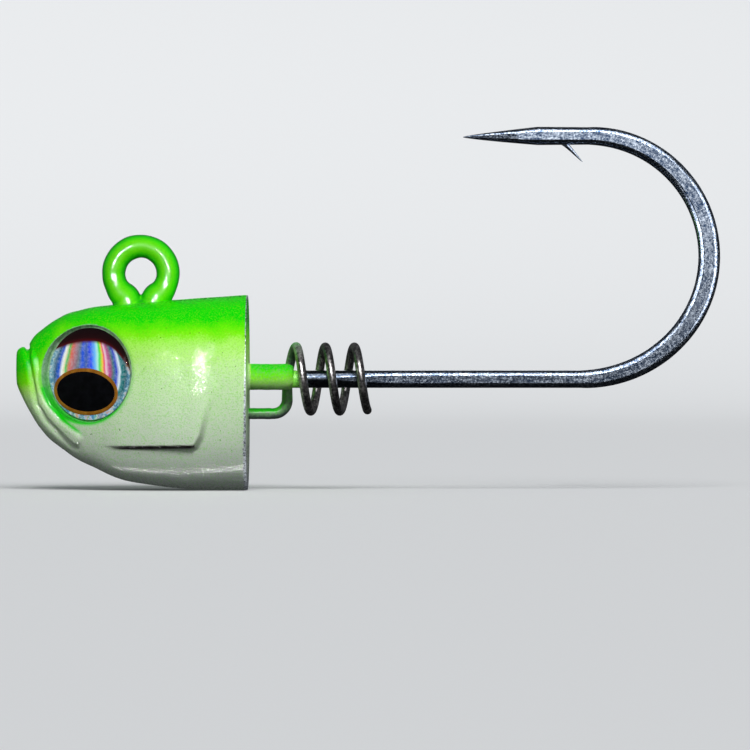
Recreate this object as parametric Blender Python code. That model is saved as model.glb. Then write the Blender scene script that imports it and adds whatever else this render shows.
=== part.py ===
"""Fish-head fishing jig: a lead head cast round a forged hook, a wire bait keeper and two domed eyes.

Blender units are metres. X runs from the nose to the hook's bend, Z points up towards the line tie,
and Y is across the head. The origin is the centre of the flat rear face, where a soft bait butts up.
"""

import math

import bmesh
import bpy
from mathutils import Matrix, Vector

MM = 0.001
FIT = 0.04 * MM  # clearance round everything cast into the lead
LAYER_GAP = 0.03 * MM  # clearance between the layers of an eye
WELD = 0.001 * MM
SIDES = ((-1, "left"), (1, "right"))  # which way Y points on each side

# Head casting: heights of the crown, belly and widest line, and the half width, each behind the nose
HEAD_LENGTH = 23.1 * MM
CROWN = (
    (0, 2.75), (0.9, 4.75), (2.3, 6.15), (4.25, 7.5), (6.25, 8.25), (9.15, 8.75), (15.75, 9.3), (23.1, 9.8),
)
BELLY = (
    (0, 2.75), (0.95, -0.85), (2.45, -3.35), (4.35, -5.25), (7.55, -7.25), (13.15, -9.05), (23.1, -9.6),
)
WIDEST = ((0, 2.75), (4.0, 1.9), (11.0, 1.0), (23.1, 0.4))
HALF_WIDTH = ((0, 0), (1.1, 1.9), (3.1, 3.15), (7.45, 4.95), (12.1, 6.3), (17.1, 6.95), (23.1, 7.15))
SQUARENESS = ((0, 2.1), (6.0, 2.9), (10.0, 2.9), (23.1, 2.3))  # 2 is an ellipse
HEAD_STATIONS = 36
HEAD_SIDES = 48
REAR_CHAMFER = 0.25 * MM

# Cast collar behind the head
COLLAR_RADIUS = 1.3 * MM
COLLAR_END = 4.6 * MM
COLLAR_HEIGHT = 1.65 * MM
COLLAR_ROUNDING = 0.35 * MM
COLLAR_SINK = 1.0 * MM  # how far it starts inside the head
COLLAR_FACETS = 28

# Mouth crease and raised gill plate, as places on the side of the head (x, z) in millimetres
MOUTH = ((-16.95, -5.55), (-18.75, -4.25), (-20.25, -2.35), (-21.05, -0.65), (-21.55, 2.35), (-21.7, 3.6))
MOUTH_RADIUS = 0.3 * MM
MOUTH_FINENESS = 2
GILL_OUTLINE = ((-14.35, -5.35), (-5.5, -5.42), (-4.95, -4.35), (-4.4, -1.85), (-3.5, 0.6), (-14.35, 0.6))
GILL_RISE = 1.0 * MM  # at the rear lower corner
GILL_SINK = 0.04 * MM  # how far the plate's upper and front edges lie under the skin
GILL_STATIONS = 14

# Hook: forged from round wire, ring bent up from the shank
WIRE_RADIUS = 0.9 * MM
RING_WIRE_RADIUS = 0.98 * MM
SHANK_RADIUS = 0.88 * MM
BEND_RADIUS_OF_WIRE = 1.1 * MM
LEG_RADIUS = 0.92 * MM
FORGED_HALF_THICKNESS = 0.68 * MM
FORGED_FROM = 7.0 * MM
FORGED_FULLY = 13.0 * MM
SHANK_HEIGHT = 1.45 * MM
RING_CENTRE = (-10.7 * MM, 12.1 * MM)
RING_RADIUS = 2.72 * MM
RING_FLARE = math.radians(55)  # where the ring turns down into its two legs, below its middle
LEG_OFFSET = 1.06 * MM  # each leg, from the ring's middle plane
LEG_END_HEIGHT = 7.2 * MM
ELBOW_RADIUS = 3.0 * MM
LOWER_BEND = (33.35 * MM, 12.8 * MM, 12.3 * MM)  # centre x, half width, half height of the ellipse
UPPER_BEND = (34.15 * MM, 12.0 * MM)  # centre x, radius
BEND_SWELL_POWER = 0.6  # how soon the wire reaches its full width in the bend
POINT_X = 21.55 * MM
POINT_TAPER = 7.4 * MM
POINT_TAPER_POWER = 0.8  # 1 is a straight cone
POINT_DROP = 0.12 * MM
TIP_RADIUS = 0.04 * MM
BARB_BASE = (31.7 * MM, 24.95 * MM)
BARB_TIP = (33.5 * MM, 23.1 * MM)
BARB_RADIUS = 0.36 * MM
BARB_FACETS = 8
SHANK_STATIONS = (0, 7, 10, 13, 26)  # millimetres along X
RING_STEPS = 24
NECK_STEPS = 4
ELBOW_STEPS = 7
BEND_STEPS = 18
TAPER_STEPS = 8
HOOK_FINENESS = 4
CHANNEL_END = 8.0 * MM
CHANNEL_TOP = 18.0 * MM  # above the ring, below the point

# Bait keeper: a coil of stainless wire round the shank, its tail cast into the head
KEEPER_WIRE_RADIUS = 0.44 * MM
KEEPER_RADIUS = 2.96 * MM
KEEPER_PITCH = 2.9 * MM
KEEPER_START = 4.85 * MM
KEEPER_TURNS = 2.47
KEEPER_LEG_X = 3.88 * MM
KEEPER_TAIL_HEIGHT = -2.05 * MM
KEEPER_TAIL_BEND = 1.4 * MM
KEEPER_TAIL_END = -5.0 * MM
KEEPER_BORE_END = 1.0 * MM
KEEPER_STEPS_PER_TURN = 24
KEEPER_BEND_STEPS = 6
KEEPER_FINENESS = 2
KEEPER_BORE_FINENESS = 4

# Eyes: adhesive pad, holographic foil, printed pupil and clear dome in a tilted socket
EYE_CENTRE = (-15.45 * MM, 3.7 * MM, 1.95 * MM)
EYE_TILT = math.radians(25)
SOCKET_RADIUS = 4.85 * MM
SOCKET_REACH = 6.0 * MM
PAD_RADIUS = 4.45 * MM
PAD_THICKNESS = 0.1 * MM
FOIL_RADIUS = 4.58 * MM
FOIL_THICKNESS = 0.12 * MM
PUPIL_HALF_WIDTH = 3.5 * MM
PUPIL_HALF_HEIGHT = 2.3 * MM
PUPIL_OFFSET = (-0.5 * MM, -1.75 * MM)  # towards the nose and down, in the foil's plane
PUPIL_ROLL = math.radians(4.5)
PUPIL_THICKNESS = 0.04 * MM
DOME_RADIUS = 4.7 * MM
DOME_EDGE = 0.4 * MM
DOME_RISE = 0.95 * MM
DOME_STEPS = 6
DOME_FACETS = 32
SOCKET_FACETS = 48
DISC_FACETS = 40
SHARP_ANGLE = math.radians(35)


def clear_scene():
    for obj in list(bpy.data.objects):
        bpy.data.objects.remove(obj)


def make_collection(name):
    collection = bpy.data.collections.new(name)
    bpy.context.scene.collection.children.link(collection)
    return collection


def make_material(name, colour, roughness, metallic, alpha=1.0):
    material = bpy.data.materials.new(name)
    material.use_nodes = True
    shader = material.node_tree.nodes["Principled BSDF"]
    shader.inputs["Base Color"].default_value = (*colour, 1.0)
    shader.inputs["Roughness"].default_value = roughness
    shader.inputs["Metallic"].default_value = metallic
    shader.inputs["Alpha"].default_value = alpha
    return material


def place(name, mesh, material=None):
    """A new object: a part if it has a material, otherwise a cutter or an addition for a Boolean."""
    obj = bpy.data.objects.new(name, mesh)
    if material:
        mesh.materials.append(material)
        mesh.shade_smooth()
        mesh.set_sharp_from_angle(angle=SHARP_ANGLE)
        parts.objects.link(obj)
        obj.parent = jig
    else:
        obj.hide_render = True
        obj.display_type = "WIRE"
        cutters.objects.link(obj)
    return obj


def finished_mesh(bm, name):
    mesh = bpy.data.meshes.new(name)
    bm.to_mesh(mesh)
    bm.free()
    return mesh


def boolean(obj, tool, operation):
    modifier = obj.modifiers.new(tool.name, "BOOLEAN")
    modifier.operation = operation
    modifier.object = tool
    modifier.solver = "EXACT"


def smooth_value(knots, distance):
    """Height or width in metres at a distance behind the nose, on a smooth curve through (mm, mm) knots.

    The curve runs in the square root of the distance, so that it rounds off at the nose.
    """
    at = [math.sqrt(knot[0]) for knot in knots]
    values = [knot[1] for knot in knots]
    t = min(max(math.sqrt(max(distance, 0) / MM), at[0]), at[-1])
    i = max(k for k in range(len(at) - 1) if at[k] <= t)
    slopes = []
    for k in (i, i + 1):
        before, after = max(k - 1, 0), min(k + 1, len(at) - 1)
        slopes.append((values[after] - values[before]) / (at[after] - at[before]))
    step = at[i + 1] - at[i]
    u = (t - at[i]) / step
    start, end = values[i] + slopes[0] * step * u, values[i + 1] - slopes[1] * step * (1 - u)
    ease = u * u * (3 - 2 * u)
    return (start * (1 - ease) + end * ease) * MM


def head_section(x):
    """Half width, widest height, rise to the crown, drop to the belly and squareness of the head at x."""
    distance = x + HEAD_LENGTH
    middle = smooth_value(WIDEST, distance)
    rise = smooth_value(CROWN, distance) - middle
    drop = middle - smooth_value(BELLY, distance)
    return smooth_value(HALF_WIDTH, distance), middle, rise, drop, smooth_value(SQUARENESS, distance) / MM


def head_half_width(x, z):
    """How far the side of the head lies from the middle plane at (x, z)."""
    width, middle, rise, drop, power = head_section(x)
    share = (z - middle) / (rise if z > middle else -drop)
    return width * max(1 - min(abs(share), 1) ** power, 0) ** (1 / power)


def head_ring(x, inset=0.0):
    width, middle, rise, drop, power = head_section(x)
    ring = []
    for i in range(HEAD_SIDES):
        angle = math.tau * i / HEAD_SIDES
        across = math.copysign(abs(math.cos(angle)) ** (2 / power), math.cos(angle))
        up = math.copysign(abs(math.sin(angle)) ** (2 / power), math.sin(angle))
        reach = (rise if up > 0 else drop) - inset
        ring.append(Vector((x, (width - inset) * across, middle + reach * up)))
    return ring


def loft(name, rings, tip=None):
    """A closed mesh through rings of equal length, ending in flat caps or, at the first ring, in a tip."""
    bm = bmesh.new()
    rows = [[bm.verts.new(point) for point in ring] for ring in rings]
    for row, following in zip(rows, rows[1:]):
        for i in range(len(row)):
            j = (i + 1) % len(row)
            bm.faces.new((row[i], row[j], following[j], following[i]))
    if tip is None:
        bm.faces.new(rows[0])
    else:
        point = bm.verts.new(tip)
        for i in range(len(rows[0])):
            bm.faces.new((point, rows[0][(i + 1) % len(rows[0])], rows[0][i]))
    bm.faces.new(rows[-1])
    bmesh.ops.recalc_face_normals(bm, faces=bm.faces)
    return finished_mesh(bm, name)


def wire(name, points, radii, fineness):
    """A closed mesh tube along points, with a radius at each, round to a curve's bevel fineness."""
    curve = bpy.data.curves.new(name, "CURVE")
    curve.dimensions = "3D"
    curve.bevel_depth = 1.0
    curve.bevel_resolution = fineness
    curve.use_fill_caps = True
    spline = curve.splines.new("POLY")
    spline.points.add(len(points) - 1)
    for node, point, radius in zip(spline.points, points, radii):
        node.co = (*point, 1.0)
        node.radius = radius
    carrier = bpy.data.objects.new(name, curve)
    bpy.context.scene.collection.objects.link(carrier)
    evaluated = carrier.evaluated_get(bpy.context.evaluated_depsgraph_get())
    mesh = bpy.data.meshes.new_from_object(evaluated)
    bpy.data.objects.remove(carrier)
    bm = bmesh.new()
    bm.from_mesh(mesh)
    bmesh.ops.remove_doubles(bm, verts=bm.verts, dist=WELD)
    bmesh.ops.recalc_face_normals(bm, faces=bm.faces)
    return finished_mesh(bm, name)


def cylinder(name, radius, length, segments):
    """A cylinder along Z that stands on the plane z = 0."""
    bm = bmesh.new()
    bmesh.ops.create_cone(
        bm,
        cap_ends=True,
        segments=segments,
        radius1=radius,
        radius2=radius,
        depth=length,
        matrix=Matrix.Translation((0, 0, length / 2)),
    )
    return finished_mesh(bm, name)


def arc(centre, radius, start, end, steps):
    """Points (x, z) on an arc. radius may be a pair, for an ellipse's half width and half height."""
    across, up = radius if isinstance(radius, tuple) else (radius, radius)
    points = []
    for i in range(steps + 1):
        angle = start + (end - start) * i / steps
        points.append((centre[0] + across * math.cos(angle), centre[1] + up * math.sin(angle)))
    return points


def hook_path():
    """The wire's centre line and radius as (x, z, radius), from the cut end at the ring to the point."""
    ring_x, ring_z = RING_CENTRE
    turn_in = RING_RADIUS * math.cos(RING_FLARE) - LEG_OFFSET
    neck_radius = turn_in / (1 - math.cos(RING_FLARE))
    reach = RING_RADIUS + neck_radius
    neck_x, neck_z = reach * math.cos(RING_FLARE), ring_z - reach * math.sin(RING_FLARE)
    quarter = math.pi / 2
    eye = [(ring_x - LEG_OFFSET, LEG_END_HEIGHT)]
    eye += arc((ring_x - neck_x, neck_z), neck_radius, 0, RING_FLARE, NECK_STEPS)
    eye += arc(RING_CENTRE, RING_RADIUS, math.pi + RING_FLARE, -RING_FLARE, RING_STEPS)[1:]
    eye += arc((ring_x + neck_x, neck_z), neck_radius, math.pi - RING_FLARE, math.pi, NECK_STEPS)[1:]
    elbow_centre = (ring_x + LEG_OFFSET + ELBOW_RADIUS, SHANK_HEIGHT + ELBOW_RADIUS)
    elbow = arc(elbow_centre, ELBOW_RADIUS, math.pi, 3 * quarter, ELBOW_STEPS)
    path = [(x, z, RING_WIRE_RADIUS) for x, z in eye]
    path += [(x, z, WIRE_RADIUS) for x, z in elbow]
    path += [(x * MM, SHANK_HEIGHT, SHANK_RADIUS) for x in SHANK_STATIONS]
    lower_x, lower_width, lower_height = LOWER_BEND
    middle = SHANK_HEIGHT + lower_height
    bend = arc((lower_x, middle), (lower_width, lower_height), -quarter, 0, BEND_STEPS)
    upper_x, upper_radius = UPPER_BEND
    bend += arc((upper_x, middle), upper_radius, 0, quarter, BEND_STEPS)[1:]
    for i, (x, z) in enumerate(bend):
        swell = math.sin(math.pi * i / (len(bend) - 1)) ** BEND_SWELL_POWER
        path.append((x, z, SHANK_RADIUS + (BEND_RADIUS_OF_WIRE - SHANK_RADIUS) * swell))
    leg_z = middle + upper_radius
    taper_x = POINT_X + POINT_TAPER
    path.append(((upper_x + taper_x) / 2, leg_z, LEG_RADIUS))
    for i in range(TAPER_STEPS + 1):
        share = 1 - i / TAPER_STEPS
        radius = TIP_RADIUS + (LEG_RADIUS - TIP_RADIUS) * share**POINT_TAPER_POWER
        path.append((POINT_X + POINT_TAPER * share, leg_z - POINT_DROP * (1 - share), radius))
    return path


def forge(mesh):
    """Presses the sides of the wire flat from the shank onwards."""
    for vertex in mesh.vertices:
        x, y, z = vertex.co
        if x < FORGED_FROM and z < RING_CENTRE[1]:
            continue
        pressed = min(max((x - FORGED_FROM) / (FORGED_FULLY - FORGED_FROM), 0), 1)
        limit = BEND_RADIUS_OF_WIRE + (FORGED_HALF_THICKNESS - BEND_RADIUS_OF_WIRE) * pressed
        vertex.co.y = min(max(y, -limit), limit)


def make_barb():
    """A sliver raised from the inner side of the point, leaning back towards the bend."""
    base = Vector((BARB_BASE[0], 0, BARB_BASE[1]))
    tip = Vector((BARB_TIP[0], 0, BARB_TIP[1]))
    turn = (tip - base).to_track_quat("Z", "Y").to_matrix().to_4x4()
    bm = bmesh.new()
    bmesh.ops.create_cone(
        bm,
        cap_ends=True,
        segments=BARB_FACETS,
        radius1=BARB_RADIUS,
        radius2=TIP_RADIUS,
        depth=(tip - base).length,
        matrix=Matrix.Translation((base + tip) / 2) @ turn,
    )
    return place("barb", finished_mesh(bm, "barb"))


def make_hook(material):
    path = hook_path()
    points = [(x, 0, z) for x, z, _ in path]
    mesh = wire("hook", points, [radius for _, _, radius in path], HOOK_FINENESS)
    forge(mesh)
    hook = place("hook", mesh, material)
    boolean(hook, make_barb(), "UNION")
    return hook


def hook_channel():
    """The space in the lead for the hook's ring, neck, elbow and shank."""
    path = [(x, z, radius) for x, z, radius in hook_path() if x < CHANNEL_END and z < CHANNEL_TOP]
    points = [(x, 0, z) for x, z, _ in path]
    mesh = wire("hook_channel", points, [radius + FIT for _, _, radius in path], HOOK_FINENESS)
    return place("hook_channel", mesh)


def keeper_path():
    """The keeper's centre line, from the end cast into the head to the coil's free end."""
    side = KEEPER_RADIUS
    points = [(KEEPER_TAIL_END, side, KEEPER_TAIL_HEIGHT)]
    corner = (KEEPER_LEG_X - KEEPER_TAIL_BEND, KEEPER_TAIL_HEIGHT + KEEPER_TAIL_BEND)
    quarter = math.pi / 2
    points += [(x, side, z) for x, z in arc(corner, KEEPER_TAIL_BEND, -quarter, 0, KEEPER_BEND_STEPS)]
    lead_in_turns = 0.25
    lead_in_pitch = (KEEPER_START - KEEPER_LEG_X) / lead_in_turns
    for i in range(round((KEEPER_TURNS + lead_in_turns) * KEEPER_STEPS_PER_TURN) + 1):
        turn = i / KEEPER_STEPS_PER_TURN - lead_in_turns
        angle = math.tau * turn
        x = KEEPER_START + turn * (KEEPER_PITCH if turn > 0 else lead_in_pitch)
        points.append((x, -side * math.sin(angle), SHANK_HEIGHT + side * math.cos(angle)))
    return points


def make_keeper(material):
    points = keeper_path()
    mesh = wire("bait_keeper_coil", points, [KEEPER_WIRE_RADIUS] * len(points), KEEPER_FINENESS)
    return place("bait_keeper_coil", mesh, material)


def keeper_bore():
    points = [(x, KEEPER_RADIUS, KEEPER_TAIL_HEIGHT) for x in (KEEPER_TAIL_END - FIT, KEEPER_BORE_END)]
    mesh = wire("keeper_bore", points, [KEEPER_WIRE_RADIUS + FIT] * 2, KEEPER_BORE_FINENESS)
    return place("keeper_bore", mesh)


def eye_frame(side):
    """Matrix of an eye's socket floor: Z out of the head, Y up, X to the tail (left) or the nose (right)."""
    out = Vector((-math.sin(EYE_TILT), side * math.cos(EYE_TILT), 0))
    up = Vector((0, 0, 1))
    turn = Matrix((up.cross(out), up, out)).transposed().to_4x4()
    x, y, z = EYE_CENTRE
    return Matrix.Translation((x, side * y, z)) @ turn


def eye_socket(side, label):
    mesh = cylinder("eye_socket", SOCKET_RADIUS, SOCKET_REACH, SOCKET_FACETS)
    socket = place(f"eye_socket_{label}", mesh)
    socket.matrix_world = eye_frame(side)
    return socket


def mouth_crease():
    """A groove round the front of the head that marks off the lower jaw."""
    left = [(x * MM, -head_half_width(x * MM, z * MM), z * MM) for x, z in MOUTH]
    top_x = MOUTH[-1][0] * MM
    top = (top_x, 0, smooth_value(CROWN, top_x + HEAD_LENGTH))
    right = [(x, -y, z) for x, y, z in reversed(left)]
    points = left + [top] + right
    mesh = wire("mouth_crease", points, [MOUTH_RADIUS] * len(points), MOUTH_FINENESS)
    return place("mouth_crease", mesh)


def gill_plates():
    """Both gill plates: the head's sides swollen towards the rear lower corner, cut to the outline."""
    front, corner, rear = (GILL_OUTLINE[i][0] * MM for i in (0, 1, 4))
    low, high = GILL_OUTLINE[0][1] * MM, GILL_OUTLINE[4][1] * MM
    rings = []
    for i in range(-1, GILL_STATIONS + 2):
        x = front + (rear - front) * i / GILL_STATIONS
        along = min(max((x - front) / (corner - front), 0), 1)
        ring = head_ring(x)
        for point in ring:
            down = min(max((high - point.z) / (high - low), 0), 1)
            point.y += math.copysign(GILL_RISE * along * down - GILL_SINK, point.y)
        rings.append(ring)
    plates = place("gill_plates", loft("gill_plates", rings))
    sides = [[(x * MM, y * HEAD_LENGTH, z * MM) for x, z in GILL_OUTLINE] for y in (-1, 1)]
    boolean(plates, place("gill_outline", loft("gill_outline", sides)), "INTERSECT")
    return plates


def collar():
    bm = bmesh.new()
    bm.from_mesh(cylinder("collar", COLLAR_RADIUS, COLLAR_END + COLLAR_SINK, COLLAR_FACETS))
    rim = [edge for edge in bm.edges if all(vertex.co.z > COLLAR_END for vertex in edge.verts)]
    bmesh.ops.bevel(bm, geom=rim, offset=COLLAR_ROUNDING, segments=2, affect="EDGES", profile=0.5)
    added = place("collar", finished_mesh(bm, "collar"))
    added.location = (-COLLAR_SINK, 0, COLLAR_HEIGHT)
    added.rotation_euler = (0, math.pi / 2, 0)
    return added


def make_head(material):
    rings = []
    for i in range(1, HEAD_STATIONS + 1):
        share = i / HEAD_STATIONS
        rings.append(head_ring(-HEAD_LENGTH + (HEAD_LENGTH - REAR_CHAMFER) * share**2))
    rings.append(head_ring(0, REAR_CHAMFER))
    nose = (-HEAD_LENGTH, 0, CROWN[0][1] * MM)
    head = place("head_casting", loft("head_casting", rings, nose), material)
    boolean(head, collar(), "UNION")
    boolean(head, gill_plates(), "UNION")
    for side, label in SIDES:
        boolean(head, eye_socket(side, label), "DIFFERENCE")
    boolean(head, mouth_crease(), "DIFFERENCE")
    boolean(head, hook_channel(), "DIFFERENCE")
    boolean(head, keeper_bore(), "DIFFERENCE")
    return head


def dome_mesh():
    """A clear cap: a short upright edge under a shallow spherical crown, turned about Z."""
    ball = (DOME_RADIUS**2 + DOME_RISE**2) / (2 * DOME_RISE)
    sweep = math.asin(DOME_RADIUS / ball)
    top = DOME_EDGE + DOME_RISE
    outline = [Vector((0, 0, top))]
    for i in range(1, DOME_STEPS + 1):
        angle = sweep * i / DOME_STEPS
        outline.append(Vector((ball * math.sin(angle), 0, top - ball * (1 - math.cos(angle)))))
    outline.append(Vector((DOME_RADIUS, 0, 0)))
    outline.append(Vector((0, 0, 0)))
    bm = bmesh.new()
    verts = [bm.verts.new(point) for point in outline]
    edges = [bm.edges.new(pair) for pair in zip(verts, verts[1:])]
    bmesh.ops.spin(
        bm,
        geom=edges,
        cent=(0, 0, 0),
        axis=(0, 0, 1),
        angle=math.tau,
        steps=DOME_FACETS,
        use_merge=True,
    )
    bmesh.ops.remove_doubles(bm, verts=bm.verts, dist=WELD)
    bmesh.ops.recalc_face_normals(bm, faces=bm.faces)
    return finished_mesh(bm, "eye_dome")


def make_eye(side, label, adhesive, foil, ink, clear):
    """The layers of one eye, stacked outwards from the socket's floor."""
    frame = eye_frame(side)
    height = LAYER_GAP
    pad_mesh = cylinder("eye_adhesive", PAD_RADIUS, PAD_THICKNESS, DISC_FACETS)
    pad = place(f"eye_adhesive_{label}", pad_mesh, adhesive)
    pad.matrix_world = frame @ Matrix.Translation((0, 0, height))
    height += PAD_THICKNESS + LAYER_GAP
    film_mesh = cylinder("eye_foil", FOIL_RADIUS, FOIL_THICKNESS, DISC_FACETS)
    film = place(f"eye_foil_{label}", film_mesh, foil)
    film.matrix_world = frame @ Matrix.Translation((0, 0, height))
    height += FOIL_THICKNESS + LAYER_GAP
    print_mesh = cylinder("pupil_print", 1.0, PUPIL_THICKNESS, DISC_FACETS)
    roll = Matrix.Rotation(side * PUPIL_ROLL, 4, "Z")
    print_mesh.transform(roll @ Matrix.Diagonal((PUPIL_HALF_WIDTH, PUPIL_HALF_HEIGHT, 1, 1)))
    pupil = place(f"pupil_print_{label}", print_mesh, ink)
    offset_x, offset_y = PUPIL_OFFSET
    pupil.matrix_world = frame @ Matrix.Translation((-side * offset_x, offset_y, height))
    height += PUPIL_THICKNESS + LAYER_GAP
    dome = place(f"eye_dome_{label}", dome_mesh(), clear)
    dome.matrix_world = frame @ Matrix.Translation((0, 0, height))


clear_scene()
parts = make_collection("jig_head")
cutters = make_collection("cutters")
jig = bpy.data.objects.new("jig_head_origin", None)
parts.objects.link(jig)
make_hook(make_material("hook_steel", (0.42, 0.44, 0.47), 0.28, 1.0))
make_keeper(make_material("keeper_steel", (0.5, 0.5, 0.52), 0.2, 1.0))
make_head(make_material("head_paint", (0.16, 0.75, 0.05), 0.18, 0.0))
eye_materials = (
    make_material("eye_adhesive", (0.75, 0.76, 0.78), 0.5, 0.0),
    make_material("eye_foil", (0.6, 0.68, 0.78), 0.15, 1.0),
    make_material("pupil_ink", (0.02, 0.012, 0.01), 0.3, 0.0),
    make_material("eye_clear", (0.95, 0.97, 1.0), 0.03, 0.0, 0.3),
)
for side, label in SIDES:
    make_eye(side, label, *eye_materials)
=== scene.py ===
"""Looks for the fish-head jig: painted lead head, forged hook, wire bait keeper and domed foil eyes.

Shapes are worked out in millimetres in the frame's axes (X nose to bend, Y across, Z up) and turned
into metres when a piece is made.
"""

import math

import bmesh
import bpy
import numpy as np
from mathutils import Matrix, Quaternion, Vector, noise


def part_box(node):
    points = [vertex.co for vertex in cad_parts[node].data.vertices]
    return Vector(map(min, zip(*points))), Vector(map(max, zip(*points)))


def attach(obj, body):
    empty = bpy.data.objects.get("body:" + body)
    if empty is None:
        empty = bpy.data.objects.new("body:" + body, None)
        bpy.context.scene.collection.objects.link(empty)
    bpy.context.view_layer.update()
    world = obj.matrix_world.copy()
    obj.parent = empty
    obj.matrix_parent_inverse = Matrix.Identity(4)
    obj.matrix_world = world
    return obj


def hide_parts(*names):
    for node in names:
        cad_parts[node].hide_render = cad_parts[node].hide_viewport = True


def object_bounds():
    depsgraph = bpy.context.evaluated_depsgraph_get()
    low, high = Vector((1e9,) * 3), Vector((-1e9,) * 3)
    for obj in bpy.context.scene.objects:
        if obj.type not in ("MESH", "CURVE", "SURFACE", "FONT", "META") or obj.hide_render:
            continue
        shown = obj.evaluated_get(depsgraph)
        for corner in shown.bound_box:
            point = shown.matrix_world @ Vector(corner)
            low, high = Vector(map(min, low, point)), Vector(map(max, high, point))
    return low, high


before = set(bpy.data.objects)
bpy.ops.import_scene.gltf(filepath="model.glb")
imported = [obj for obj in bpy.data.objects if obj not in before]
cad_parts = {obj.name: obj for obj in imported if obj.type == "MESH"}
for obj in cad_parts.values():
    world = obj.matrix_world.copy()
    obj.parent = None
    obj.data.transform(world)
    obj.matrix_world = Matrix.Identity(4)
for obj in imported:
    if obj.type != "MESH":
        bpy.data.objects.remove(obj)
cad_low, cad_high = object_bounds()

MM = 0.001
pieces = {}
SIDES = ((-1, "left"), (1, "right"))


def points_of(mesh):
    """A mesh's vertices in millimetres."""
    points = np.zeros(len(mesh.vertices) * 3, np.float32)
    mesh.vertices.foreach_get("co", points)
    return points.reshape(-1, 3).astype(float) / MM


def ring_centre():
    """The middle (x, z) of the hook's ring: the hook's highest and foremost part before the shank."""
    points = points_of(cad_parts["hook"].data)
    before = points[points[:, 0] < 0]
    reach = RING_RADIUS + RING_WIRE
    return before[:, 0].min() + reach, before[:, 2].max() - reach


def box_mm(node):
    """A CAD node's lowest and highest corners in millimetres."""
    low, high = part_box(node)
    return np.array(low) / MM, np.array(high) / MM


head_low, head_high = box_mm("head_casting")
hook_low, hook_high = box_mm("hook")
keeper_low, keeper_high = box_mm("bait_keeper_coil")

# Head: crown, belly, widest line, half width and squareness of its section, each behind the nose
HEAD_LENGTH = -head_low[0]
NOSE_HEIGHT = 2.75
CROWN = (
    (0, NOSE_HEIGHT), (0.04, 3.6), (0.15, 4.1), (0.4, 4.4), (0.7, 4.5), (1.0, 4.5), (1.2, 4.75),
    (1.55, 5.35), (1.95, 5.85), (2.4, 6.22), (4.25, 7.5), (6.25, 8.25), (9.15, 8.75), (15.75, 9.3),
    (HEAD_LENGTH, 9.8),
)
BELLY = (
    (0, NOSE_HEIGHT), (0.04, 1.7), (0.2, 0.85), (0.95, -0.85), (2.45, -3.35), (4.35, -5.25),
    (7.55, -7.25), (13.15, -9.05), (HEAD_LENGTH, -9.6),
)
WIDEST = ((0, NOSE_HEIGHT), (4.0, 1.9), (11.0, 1.0), (HEAD_LENGTH, 0.4))
HALF_WIDTH = (
    (0, 0), (1.1, 1.9), (3.1, 3.15), (7.45, 4.95), (12.1, 6.3), (17.1, 6.95), (HEAD_LENGTH, 7.15),
)
SQUARENESS = ((0, 2.1), (6.0, 2.9), (10.0, 2.9), (HEAD_LENGTH, 2.3))
HEAD_STATIONS = 280
HALF_RING = 140
STATION_CROWDING = 1.6

# Head details, as outlines on its side (x, z)
CREASE = (
    (-22.0, 4.7), (-21.67, 3.0), (-21.41, 1.5), (-20.89, -1.1), (-20.0, -2.55), (-18.55, -4.1),
    (-17.35, -5.3), (-16.6, -5.55),
)
CHEEK_RIDGE = (
    (-21.75, 3.6), (-21.3, 1.5), (-20.75, -1.1), (-19.85, -2.5), (-18.4, -4.0), (-17.3, -5.05),
    (-16.75, -5.3), (-16.3, -4.95), (-16.15, -4.4), (-16.4, -3.95), (-18.4, -2.5), (-19.6, -1.0),
    (-20.2, 0.4), (-20.5, 2.0), (-20.8, 3.6), (-21.3, 4.6),
)
GILL = (
    (-14.15, -5.22), (-5.1, -5.05), (-4.6, -4.05), (-4.05, -1.75), (-3.15, 0.6), (-4.2, 3.0),
    (-14.15, 3.0),
)
GILL_CORNER = (-5.1, -5.03)
GLOSS_STREAK = ((-4.45, 0.65), (-4.5, 3.65), (-3.95, 4.65), (-3.0, 5.25), (-1.6, 5.75))
GLOSS_PATCH = (-8.4, 3.3)
GILL_TOP = 3.0

# Heights and depths of those details
CREASE_DEPTH = 0.24
LIP_RISE = 0.1
CHEEK_RISE = 0.28
GILL_RISE = 0.85
GILL_UNDERCUT = 0.07
SOCKET_GROOVE = 0.12
PARTING_RIDGE = 0.05

# Collar, cast on behind the head
COLLAR_RADIUS = 1.3
COLLAR_HEIGHT = 1.65
COLLAR_END = head_high[0]
COLLAR_TAPER = 0.8
FILLET = 0.3

# Hook
RING_RADIUS = 2.72
RING_WIRE = 0.98
RING_FLARE = math.radians(55)
LEG_OFFSET = 1.06
LEG_END_HEIGHT = 7.2
ELBOW_RADIUS = 3.0
SHANK_WIRE = 0.88
BEND_WIRE = 1.1
POINT_WIRE = 0.92
TIP_WIRE = 0.035
SHANK_HEIGHT = hook_low[2] + SHANK_WIRE
POINT_HEIGHT = hook_high[2] - POINT_WIRE
BEND_REACH = hook_high[0] - BEND_WIRE
RING_CENTRE = ring_centre()
LOWER_BEND_WIDTH = 12.8
LOWER_BEND_HEIGHT = 12.3
POINT_TAPER = 7.4
POINT_X = 21.55
POINT_DROP = 0.12
BARB_ROOT = (31.4, 0.55)
BARB_TIP = (33.5, 2.62)
FORGED_FROM = 8.0
FORGED_FULLY = 20.0
FORGED_BULGE = 0.755
FORGED_FLAT = 0.667
PAINT_THICKNESS = 0.19
RING_PAINT_FOOT = 8.4
RING_PAINT_VOXEL = 0.09

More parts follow.
